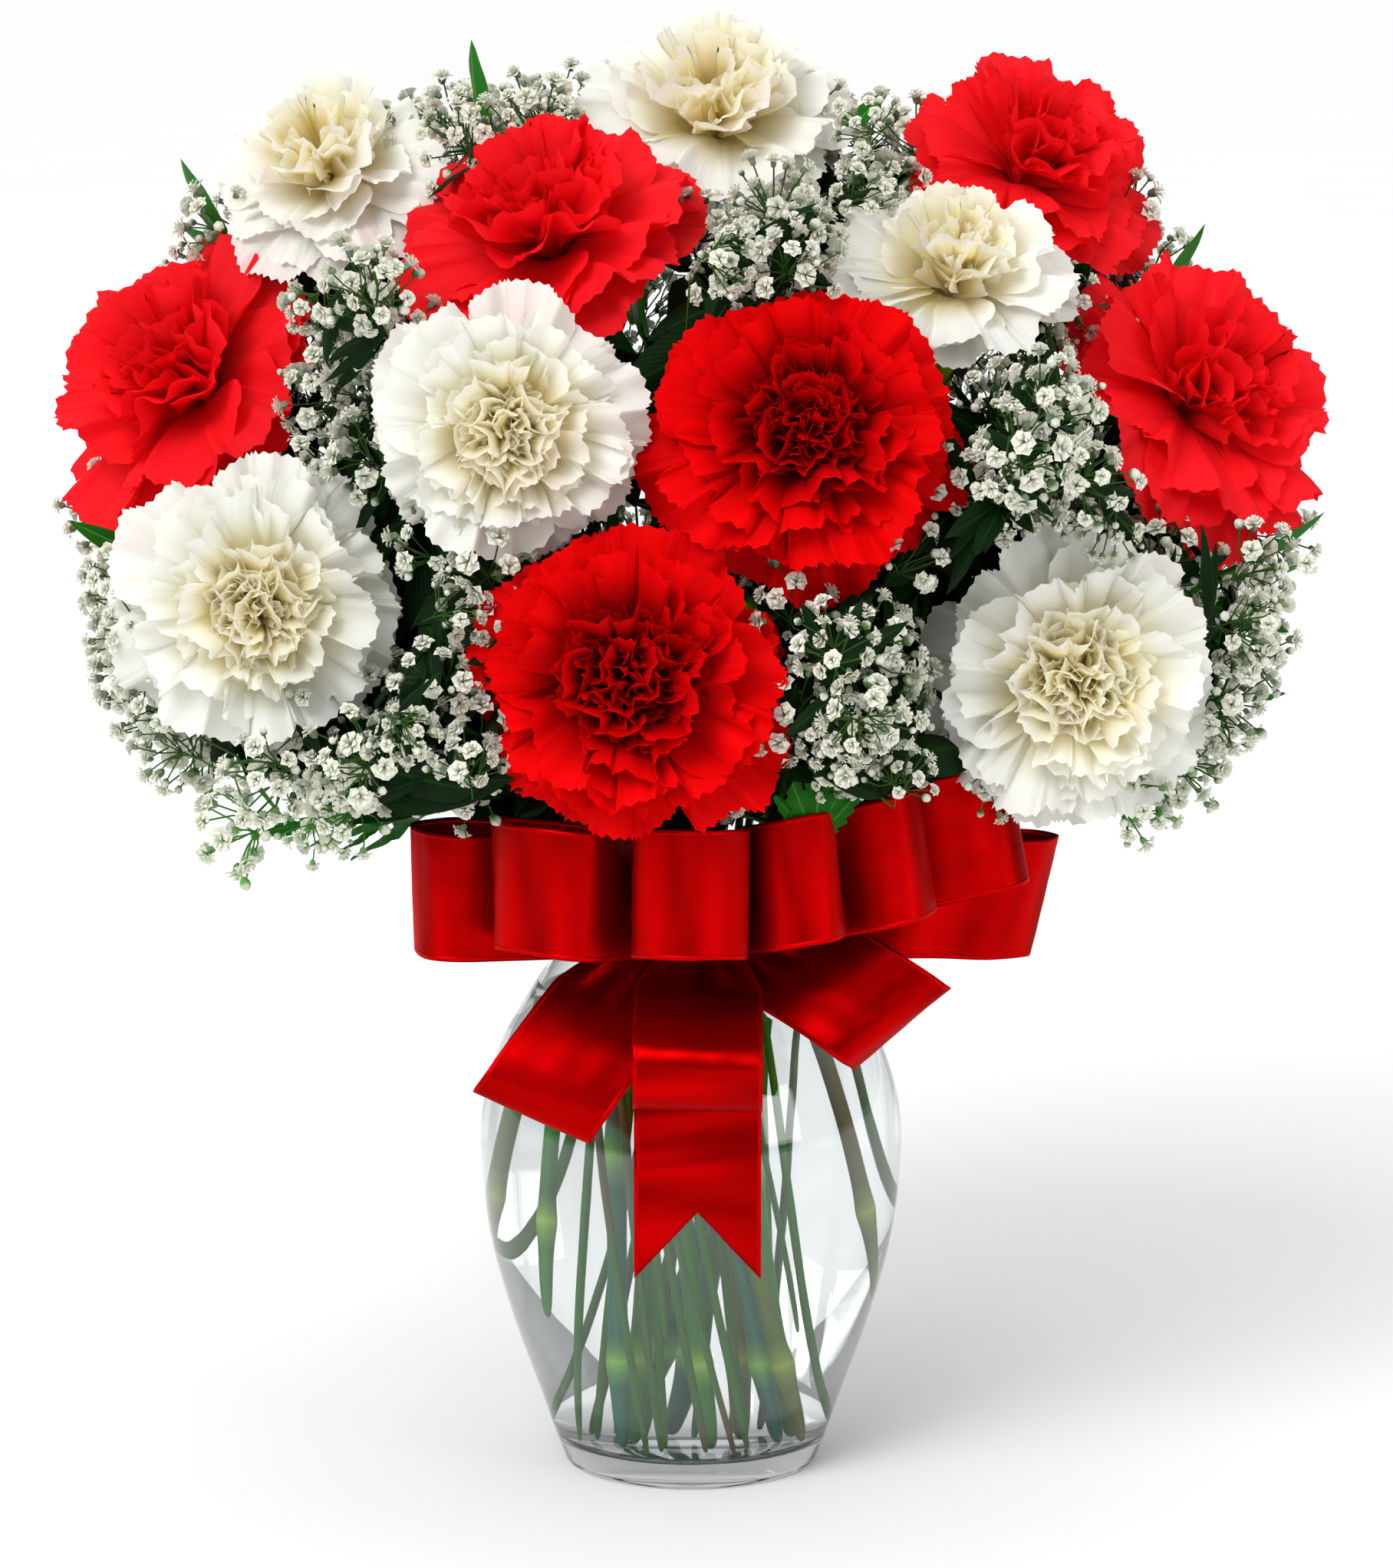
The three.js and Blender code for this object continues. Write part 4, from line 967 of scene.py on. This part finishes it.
draw = np.random.default_rng(77)
leaf_feet = {}
for node in spray_nodes:
    balls, (work, feet) = balls_of[node], twigs_of[node]
    way = unit(balls - feet)
    foot_at, foot_way, foot_size = list(feet), [], []
    for ball, along in zip(balls, way):
        away = way_out(ball)
        foot_way.append(along if away is None else unit(along * 0.5 + away))
        foot_size.append(draw.uniform(0.95, 1.15) * (1.0 if away is None else CROWDED_SIZE))
    for back in SIDE_CLUSTERS_AT:
        for foot, along, side in zip(feet, way, across_from(way, draw)):
            spot = foot - along * back
            lean = unit(along * draw.uniform(0.3, 0.9) + side)
            middle = spot + lean * CLUSTER_RADIUS
            if clear_of_heads(middle) and not over_bow(middle):
                foot_at.append(spot)
                foot_way.append(lean)
                foot_size.append(SIDE_CLUSTER_SIZE * draw.uniform(0.8, 1.1))
    stalk_at, stalk_ends = [], []
    for at, fork in filling[node]:
        lean = unit(at - fork)
        foot = at - lean * CLUSTER_RADIUS
        bend = (foot + fork) / 2 + draw.normal(size=3) * 0.003 + [0, 0, 0.003]
        stalk_ends += [(len(stalk_at), len(stalk_at) + 1), (len(stalk_at) + 1, len(stalk_at) + 2)]
        stalk_at += [fork, bend, foot]
        foot_at.append(foot)
        foot_way.append(lean)
        foot_size.append(draw.uniform(0.9, 1.12))
    leaf_feet[node] = np.array([at for at in [*stalk_at, *(feet - way * LEAF_BACK), *forks_of[node]]
                                if at[2] > lip_height - LEAF_BELOW_LIP])
    kind = draw.integers(0, KINDS_OF_CLUSTER, len(foot_at))
    spots = places("cluster_feet", foot_at, foot_way, across_from(foot_way, draw), foot_size, kind)
    blossom = piece(node + "_florets", grown(setting_out, spots, Kinds=clusters, Finish=breath_petals))
    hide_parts(node)
    if stalk_at:
        many = len(stalk_at)
        lines = places("twig_lines", stalk_at, [(0, 0, 1)] * many, [(1, 0, 0)] * many, [1.0] * many,
                       [-1] * many, stalk_ends)
        stalks = piece(node + "_stalks", grown(growing, lines, Kinds=florets, Finish=breath_petals,
                                               Stalk_radius=TWIG_RADIUS))
        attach(stalks, "root")
    twigs = rounded(work, node + "_twigs", breath_petals)
    mark(twigs.data, "green", np.ones(len(twigs.data.vertices)))
    for made in (blossom, twigs):
        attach(made, "root")


# ---- Cut greens ------------------------------------------------------------------------------
# Sprigs of glossy pointed leaves and tips of leathery fern fill the edge of the mound. The leaves are
# thin and folded a little along a pale midrib, and they curve back towards their tips. The fern's are
# toothed. They stand where the frame's sprigs have flat leaves.
BLADE_THICKNESS = 0.0008  # of a leaf in the frame
SMALLEST_BLADE = 2.5e-5  # area
LEAF_END = 0.0025  # how far from the very end its corners reach
KINDS_OF_LEAF = 4
SPRIG_LEAF_SIZE, FERN_LEAF_SIZE = [1, 1.3, 1.15], [1, 2.4, 1.5]  # depth, width, length over the frame's
TUFT_LEAVES, TUFT_LENGTH = 5, 0.020  # for a sprig whose leaves the frame leaves out


def pointed(along):
    return 1.9 * (along ** 0.55) * (1 - along) ** 0.85 + 0.06 * (1 - along)


def toothed(along):
    return (1.6 * (along ** 0.35) * (1 - along) ** 0.6) * (0.60 + 0.40 * (6 * along % 1) ** 0.8) + 0.02


def leaf_mesh(name, rows, columns, outline, fold, droop, wave, draw):
    """A leaf of unit length and half width along +Z, with its face to -X."""
    along = np.linspace(0, 1, rows + 1)[:, None]
    across = np.linspace(-1, 1, columns + 1)[None, :]
    half = outline(along)
    twist = draw.uniform(-0.5, 0.5) * along
    lift = -fold * half * (1 - np.abs(across)) * 0.3 + droop * along ** 2 \
        + wave * np.sin(11 * along + draw.uniform(0, 6)) * np.abs(across) * half
    beside = across * half
    corners = np.stack([
        lift + beside * np.sin(twist) * 0.14, beside * np.cos(twist), along + 0 * across], -1)
    mesh = plain_mesh(name, corners, quads(numbered(rows + 1, columns + 1)))
    lay_flat(mesh, "leaf_map", np.stack(np.broadcast_arrays(across, along), -1))
    return smooth(mesh)


def leaf_kinds(name, rows, columns, outline, fold, droop, wave):
    return kinds_in(name, [
        leaf_mesh(f"{name}_{i}", rows, columns, outline, fold, draw.uniform(*droop), wave, draw)
        for i in range(KINDS_OF_LEAF)])


def leaf_finish(name, dark, light, rib, roughness, shine):
    """Green leaf with a pale midrib and fine side veins that slant to the edge."""
    finish, tree, shader = finish_of(name, Roughness=roughness, Specular_IOR_Level=shine)
    flat = put(tree, "ShaderNodeSeparateXYZ", {0: flat_place(tree, "leaf_map")}).outputs
    from_rib = maths(tree, "ABSOLUTE", flat[0])
    slant = maths(tree, "ADD", flat[1], maths(tree, "MULTIPLY", from_rib, -0.35))
    veins = maths(tree, "SINE", maths(tree, "MULTIPLY", slant, 85.0))
    colour = blend_colours(tree, noise(tree, own_place(tree), 90.0, 3.0), dark, light)
    colour = blend_colours(tree, ramp(tree, veins, 0.2, 1.0, 0.0, 0.35), colour, dark)
    colour = blend_colours(tree, ramp(tree, from_rib, 0.13, 0.03, 0.0, 0.7), colour, rib)
    tree.links.new(colour, shader.inputs["Base Color"])
    relief(tree, shader, veins, 0.25, 0.0002)
    let_light_through(tree, shader, 0.15, (*light, 1))
    return finish


def flat_parts(work):
    """The flat parts of a mesh: the faces, corners and area of each."""
    seen, parts = set(), []
    for face in work.faces:
        if face in seen:
            continue
        group, edge_of_group = [], [face]
        seen.add(face)
        while edge_of_group:
            one = edge_of_group.pop()
            group.append(one)
            for other in (o for edge in one.edges for o in edge.link_faces):
                if other not in seen and other.normal.dot(one.normal) > 0.9998:
                    seen.add(other)
                    edge_of_group.append(other)
        parts.append((group, {v for f in group for v in f.verts}, sum(f.calc_area() for f in group)))
    return parts


def leaf_between(normal, corners):
    """Foot, way, face, length and half width of the flat leaf with these corners."""
    at = np.array([v.co[:] for v in corners])
    middle = at.mean(0)
    long_way = np.linalg.svd(at - middle)[2][0]
    along = (at - middle) @ long_way
    if (along > along.max() - LEAF_END).sum() > (along < along.min() + LEAF_END).sum():
        long_way, along = -long_way, -along  # the tip is the end with fewer corners
    tip, foot = middle + long_way * along.max(), middle + long_way * along.min()
    face_way = normal if normal @ (middle * [1, 1, 0] + [0, 0, 0.06]) > 0 else -normal
    half_width = np.abs((at - middle) @ np.cross(long_way, normal)).max()
    return foot, long_way, face_way, np.linalg.norm(tip - foot), half_width


def sprig_parts(node):
    """The frame's sprig without its flat leaves, and each leaf's foot, way, face and size."""
    work = joined(node)
    work.normal_update()
    flats = flat_parts(work)
    leaves, gone = [], set()
    for i, (group, corners, area) in enumerate(flats):
        for other, others, area_2 in flats[i + 1:]:
            normal = np.array(group[0].normal)
            step = np.mean([v.co[:] for v in others], 0) - np.mean([v.co[:] for v in corners], 0)
            if min(area, area_2) < SMALLEST_BLADE or normal @ np.array(other[0].normal) > -0.999 \
                    or abs(abs(step @ normal) - BLADE_THICKNESS) > 1e-4 or np.linalg.norm(step) > 0.004:
                continue
            leaves.append(leaf_between(normal, corners))
            both = corners | others
            gone |= {f for f in work.faces if all(v in both for v in f.verts)}
    bmesh.ops.delete(work, geom=list(gone), context="FACES")
    bmesh.ops.delete(work, geom=[v for v in work.verts if not v.link_faces], context="VERTS")
    bmesh.ops.holes_fill(work, edges=[e for e in work.edges if e.is_boundary], sides=0)
    return work, leaves


def leaves_at_tip(work, count, length):
    """Leaves that stand up round the end of a bare stem."""
    at = np.array([v.co[:] for v in work.verts if v.co.z > lip_height])
    reach = np.linalg.norm(at - [0, 0, lip_height], axis=1)
    tip = at[reach > reach.max() - 0.001].mean(0)
    onward = unit(tip * [1, 1, 0])
    level = np.cross(onward, UP)
    made = []
    for i in range(count):
        side = level * (-1) ** i * 0.45 * ((i + 1) // 2)
        long_way = unit(onward * 0.25 + side + UP)
        size = length * (1 - 0.09 * i)
        face_way = unit(np.cross(np.cross(long_way, onward), long_way))
        made.append((tip, long_way, face_way, size, size * 0.13))
    return made


draw = np.random.default_rng(5)
pointed_leaves = leaf_kinds("pointed_leaf", 10, 6, pointed, 0.3, (-0.02, 0.14), 0.02)
fern_leaflets = leaf_kinds("fern_leaflet", 30, 4, toothed, 0.2, (0, 0.10), 0.05)
glossy_leaf = leaf_finish("glossy_leaf", (0.004, 0.060, 0.004), (0.022, 0.22, 0.010),
                          (0.10, 0.32, 0.05), 0.38, 0.2)
fern_leaf = leaf_finish("fern_leaf", (0.004, 0.050, 0.002), (0.020, 0.19, 0.008),
                        (0.06, 0.24, 0.03), 0.5, 0.08)
sprig_stem = stem_skin("sprig_stem", (0.03, 0.27, 0.005), (0.28, 0.5, 0.05), (0.28, 0.03, 0.02))
for node in sorted(sprig_nodes):
    is_fern = node.startswith("fern")
    work, leaves = sprig_parts(node)
    if len(leaves) < 3:
        leaves += leaves_at_tip(work, TUFT_LEAVES, TUFT_LENGTH)
    foot, long_way, face_way, length, half_width = map(np.array, zip(*leaves))
    size = np.stack([length, half_width, length], -1) * (FERN_LEAF_SIZE if is_fern else SPRIG_LEAF_SIZE)
    kind = draw.integers(0, KINDS_OF_LEAF, len(leaves))
    foliage = piece(node + "_leaves", grown(
        setting_out, places("leaf_feet", foot, long_way, -face_way, size, kind),
        Kinds=fern_leaflets if is_fern else pointed_leaves, Finish=fern_leaf if is_fern else glossy_leaf))
    stem = rounded(work, node + "_stem", sprig_stem)
    for made in (foliage, stem):
        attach(made, "root")
        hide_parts(node)


# ---- Leaves in the mound ---------------------------------------------------------------------
# Leaves grow from the twigs of the sprays, inside the mound, in near-black green that is painted shade of
# the mound's inside. Narrow ones point out between the florets, broad ones lie behind them, and low ones
# close the mound above the bow. The flowers stay free.
LEAVES_APART = 0.007
NARROW = {"length": (0.018, 0.032), "slimness": 0.16, "at_a_fork": 7, "turned_out": 0.3,
          "shares": (0.0, 0.97)}
BROAD = {"length": (0.034, 0.048), "slimness": 0.24, "at_a_fork": 2, "turned_out": 0.0,
         "shares": (0.1, 0.66)}
LOW = {"length": (0.030, 0.050), "slimness": 0.22, "at_a_fork": 14, "turned_out": 0.6,
       "shares": (0.60, 0.95)}
LOW_BELOW = 0.238  # height
BEHIND_BOW = 0.025  # how much further forward than a floret a low leaf may stand
ROUND_A_HEAD = 0.5, 1.0  # what a leaf keeps clear of it, inside and beside

draw = np.random.default_rng(8)
# Near-black greens: painted shade of the mound's inside, on the leaves of the sprays.
shaded_leaf = leaf_finish("shaded_leaf", (0.001, 0.006, 0.001), (0.004, 0.028, 0.003),
                          (0.010, 0.05, 0.006), 0.6, 0.1)
shaded_leaves = leaf_kinds("shaded_leaf", 6, 4, pointed, 0.3, (-0.02, 0.14), 0.02)
for node in spray_nodes:
    forks = []
    for at in leaf_feet[node]:
        if all(np.linalg.norm(at - other) > LEAVES_APART for other in forks):
            forks.append(at)
    leaves = []
    for leaf in (NARROW, BROAD, LOW):
        least, most = leaf["shares"]
        for fork in np.repeat(forks, leaf["at_a_fork"], 0):
            outward = unit(fork * [1, 1, 0] + [0, 0, 0.04])
            way = draw.normal(size=3)
            way = unit(way - (way @ outward) * outward
                       + outward * leaf["turned_out"] * draw.uniform(-0.5, 2.0))
            length = draw.uniform(*leaf["length"])
            tip, middle = fork + way * length, fork + way * length / 2
            if leaf is LOW and tip[2] > LOW_BELOW:
                continue
            behind_bow = tip + [0, BEHIND_BOW if leaf is LOW else 0, 0]
            if least <= mound_share(tip) < most and mound_share(fork) < most and not over_bow(behind_bow) \
                    and tip[2] > lip_height + 0.002 and clear_of_heads(tip, *ROUND_A_HEAD) \
                    and clear_of_heads(middle, *ROUND_A_HEAD):
                face = outward + draw.normal(size=3) * 0.4
                face = unit(np.cross(way, np.cross(face, way)))
                leaves.append((fork, way, -face, (length, length * leaf["slimness"], length)))
    grown_at, ways, faces, sizes = zip(*leaves)
    kind = draw.integers(0, KINDS_OF_LEAF, len(leaves))
    spots = places("mound_leaf_feet", grown_at, ways, faces, sizes, kind)
    foliage = piece(node + "_leaves", grown(setting_out, spots, Kinds=shaded_leaves, Finish=shaded_leaf))
    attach(foliage, "root")


# ---- The bow ---------------------------------------------------------------------------------
# One long red satin ribbon, 37 mm wide, looped back and forth from a tight knot at the front of the neck.
# It is gathered where it goes under the knot, and one end hangs in front, cut to a swallow tail.
RIBBON_WIDTH, RIBBON_THICKNESS, GATHERED_WIDTH = 0.037, 0.00045, 0.006
LAYER_GAP = 0.0009  # half the way between the two layers of a loop where they are gathered
KNOT_AT = Vector((0.002, -0.0469, 0.179))
KNOT_OUTLINE = [(-0.012, 0.0038), (-0.006, 0.0061), (-0.002, 0.0076), (0.005, 0.0076), (0.012, 0.0053)]
KNOT_BOTTOM, KNOT_TOP = -0.0118, 0.0124
KNOT_SIDES, KNOT_FOLDS = 48, 9
SEAT_GAP = 0.0006
LOOP_OPENS, LOOP_SWAY = 1.5, 0.87
LOOP_POINTS = 8  # on each of its two layers
# Bearing from the front, rise, length, width of the belly, droop of the end, lean, and height of the root.
LOOPS = {
    "far_left": (-78, 7, 0.076, 0.028, 0.004, 0, 0.004),
    "left": (-43, 15, 0.068, 0.036, 0.005, 0, 0.004),
    "middle": (-2, 17, 0.066, 0.030, 0.005, 0, 0.004),
    "right": (31, 20, 0.063, 0.021, 0.005, -6, 0.004),
    "far_right": (60, 21, 0.070, 0.024, 0.005, -9, 0.004),
    "top_right": (87, 21, 0.090, 0.025, 0.008, -12, 0.004),
    "side_right": (106, 1, 0.098, 0.014, 0.005, 14, 0.002),
    "low_left": (-56, -38, 0.062, 0.014, 0.009, -66, -0.007),
    "low_middle": (0, -38, 0.058, 0.020, 0.003, 90, -0.006),
    "low_right": (66, -13, 0.057, 0.015, 0.011, 50, -0.006),
}
TAIL_PATH = [(0.002, -0.050, 0.166), (0.002, -0.051, 0.155), (0.002, -0.057, 0.141),
             (0.002, -0.0645, 0.122), (0.002, -0.067, 0.100), (0.002, -0.066, 0.073)]
TAIL_OPENS, TAIL_NOTCH = 2.5, 0.014
BAND = {"radius": 0.0396, "low": 0.1728, "high": 0.1826, "folds": 6, "depth": 0.0012, "steps": 144}
RIBBON_COLUMNS = 33
GATHER_FOLDS = 3.5  # waves across the ribbon where it is gathered
RIPPLE, RIPPLE_LENGTH = 0.0006, 0.024  # soft waves along the ribbon


def satin(name):
    """Red satin: floats of yarn that spread the light along the ribbon, painted light and dark streaks for
    the sheen of its soft folds, and a plain woven selvedge.
    """
    cloth, tree, shader = finish_of(name, Metallic=0.75, Anisotropic=0.6, Specular_IOR_Level=0.15,
                                    Specular_Tint=(1.0, 0.16, 0.13, 1))
    flat = flat_place(tree, "ribbon_map")
    across = result_of(tree, "ShaderNodeSeparateXYZ", {0: flat})
    yarns = noise(tree, stretched(tree, flat, (260, 9, 1)))
    painted_sheen = ramp(tree, noise(tree, stretched(tree, flat, (0.4, 2.0, 1))), 0.36, 0.64)
    selvedge = ramp(tree, maths(tree, "ABSOLUTE", maths(tree, "SUBTRACT", across, 0.5)), 0.462, 0.47)
    # Painted highlight and shade: the red goes from dark to light in soft streaks along the ribbon; the
    # same noise raises the folds.
    colour = blend_colours(tree, painted_sheen, (0.24, 0.0, 0.0), (0.56, 0.0, 0.001))
    colour = blend_colours(tree, selvedge, colour, (0.5, 0.0, 0.001))
    tree.links.new(colour, shader.inputs["Base Color"])
    tree.links.new(ramp(tree, yarns, 0, 1, 0.28, 0.46), shader.inputs["Roughness"])
    normal = relief(tree, shader, yarns, 0.12, 0.0003)
    normal = relief(tree, shader, painted_sheen, 0.2, 0.0015, Normal=normal)
    relief(tree, shader, selvedge, 0.6, 0.0003, Normal=normal)
    return cloth


def strip(name, line, edge, opening, fold_way, phase, notch=0.0):
    """Ribbon along a line, with its width along the edge's direction, in folds where it is gathered."""
    length = np.linalg.norm(np.diff(line, axis=0), axis=1).sum()
    rows = len(line)
    share = np.linspace(0, 1, rows)[:, None]
    across = np.linspace(-1, 1, RIBBON_COLUMNS)[None, :]
    share = share * (1 - notch / length * (1 - np.abs(across)))

    def along_line(values):
        return np.stack([np.interp(share, np.linspace(0, 1, rows), values[:, k]) for k in range(3)], -1)

    width = GATHERED_WIDTH + (RIBBON_WIDTH - GATHERED_WIDTH) * opening(share)
    depth = np.sqrt(RIBBON_WIDTH ** 2 - width ** 2 * 0.999) / (4 * GATHER_FOLDS) * 0.9
    folds = depth * np.sin(math.pi * GATHER_FOLDS * across + phase)
    facing = along_line(unit(np.cross(np.gradient(line, axis=0), np.array(edge))))
    ripple = RIPPLE * opening(share) * np.sin(2 * math.pi * share * length / RIPPLE_LENGTH + 2 * phase
                                              + 0.9 * across + 1.4 * np.sin(9 * share + phase))
    at = along_line(line) + (across * width / 2)[..., None] * np.array(edge) \
        + folds[..., None] * np.array(fold_way) + ripple[..., None] * facing
    mesh = plain_mesh(name, at, quads(numbered(rows, RIBBON_COLUMNS), turned_over=True))
    lay_flat(mesh, "ribbon_map", np.stack([
        np.broadcast_to(across / 2 + 0.5, share.shape), share * length / RIBBON_WIDTH], -1))
    return smooth(mesh), length


def ribbon_piece(name, mesh, node):
    made = piece(name, mesh, red_satin)
    thickness = made.modifiers.new("thickness", "SOLIDIFY")
    thickness.thickness, thickness.offset = RIBBON_THICKNESS, 0
    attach(made, "root")
    if node:
        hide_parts(node)


def loop_line(bearing, rise, length, belly, droop, lean, root):
    """The middle of a loop's ribbon, out from the knot and back, with its width's and folds' directions."""
    bearing, rise, lean = math.radians(bearing), math.radians(rise), math.radians(lean)
    up = Vector((0, 0, 1))
    level = Vector((math.sin(bearing), -math.cos(bearing), 0))
    outward = level * math.cos(rise) + up * math.sin(rise)
    edge = Vector((math.sin(lean), 0, math.cos(lean)))
    swing = edge.cross(outward).normalized()
    seat = np.interp(root, *zip(*KNOT_OUTLINE)) + SEAT_GAP + GATHERED_WIDTH / 2 * abs(edge.dot(level))
    start = KNOT_AT + level * float(seat) + up * root
    points = []
    for i in range(2 * LOOP_POINTS + 1):
        turn = i / LOOP_POINTS * math.pi
        out = (1 - math.cos(turn)) / 2
        layer = LAYER_GAP * np.sign(LOOP_POINTS - i)
        sway = belly * LOOP_SWAY * math.sin(turn) * math.sin(turn / 2) ** 3 + layer
        points.append(start + outward * out * length + swing * sway - up * droop * out ** 2)
    return line_through(points, 6), edge, swing


red_satin = satin("red_satin")
for number, (name, loop) in enumerate(LOOPS.items()):
    line, edge, swing = loop_line(*loop)
    mesh, length = strip(
        "ribbon_loop_" + name, line, edge,
        lambda share: np.minimum(1, LOOP_OPENS * np.sin(math.pi * share)), swing, 0.9 * number)
    ribbon_piece("ribbon_loop_" + name, mesh, "bow_loop_" + name)

mesh, length = strip("ribbon_tail", line_through(TAIL_PATH, 12), (1, 0, 0),
                     lambda share: np.minimum(1, TAIL_OPENS * share), (0, -1, 0), 0.4, TAIL_NOTCH)
ribbon_piece("ribbon_tail", mesh, "bow_tail")

# The ribbon round the neck is bunched to a narrow band.
around = circle(BAND["steps"])[:, None]
up_band = np.linspace(0, 1, RIBBON_COLUMNS)[None, :]
radius = BAND["radius"] + BAND["depth"] * np.sin(
    2 * math.pi * BAND["folds"] * up_band + 1.3 * np.sin(2 * around))
radius = radius + 0.0004 * np.sin(7 * around + 9 * up_band)
rise = BAND["low"] + (BAND["high"] - BAND["low"]) * up_band + 0.0006 * np.sin(3 * around + 1)
index = numbered(*radius.shape)
mesh = plain_mesh("ribbon_band", np.stack([radius * np.cos(around), radius * np.sin(around), rise], -1),
                  quads(np.vstack([index, index[:1]]), turned_over=True))
lay_flat(mesh, "ribbon_map", np.stack(np.broadcast_arrays(up_band, around * 1.07), -1))
ribbon_piece("ribbon_band", smooth(mesh), None)

# The knot is the ribbon wound tight over the roots of the loops.
rows = line_through([(0.0, KNOT_BOTTOM), *[(r, z) for z, r in KNOT_OUTLINE], (0.0, KNOT_TOP)], 6)
knot_mesh = turned("ribbon_knot", rows, KNOT_SIDES)
at = corners_of(knot_mesh)
angle = np.arctan2(at[:, 1], at[:, 0])
crease = 1 + 0.07 * np.sin(KNOT_FOLDS * angle + 160 * at[:, 2]) + 0.04 * np.sin(4 * angle - 300 * at[:, 2])
at[:, :2] *= crease[:, None]
move(knot_mesh, at + np.array(KNOT_AT))
lay_flat(knot_mesh, "ribbon_map", np.stack([angle / 2, at[:, 2] * 40], -1))
knot = piece("ribbon_knot", smooth(knot_mesh), red_satin)
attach(knot, "root")
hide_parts("bow_tie")
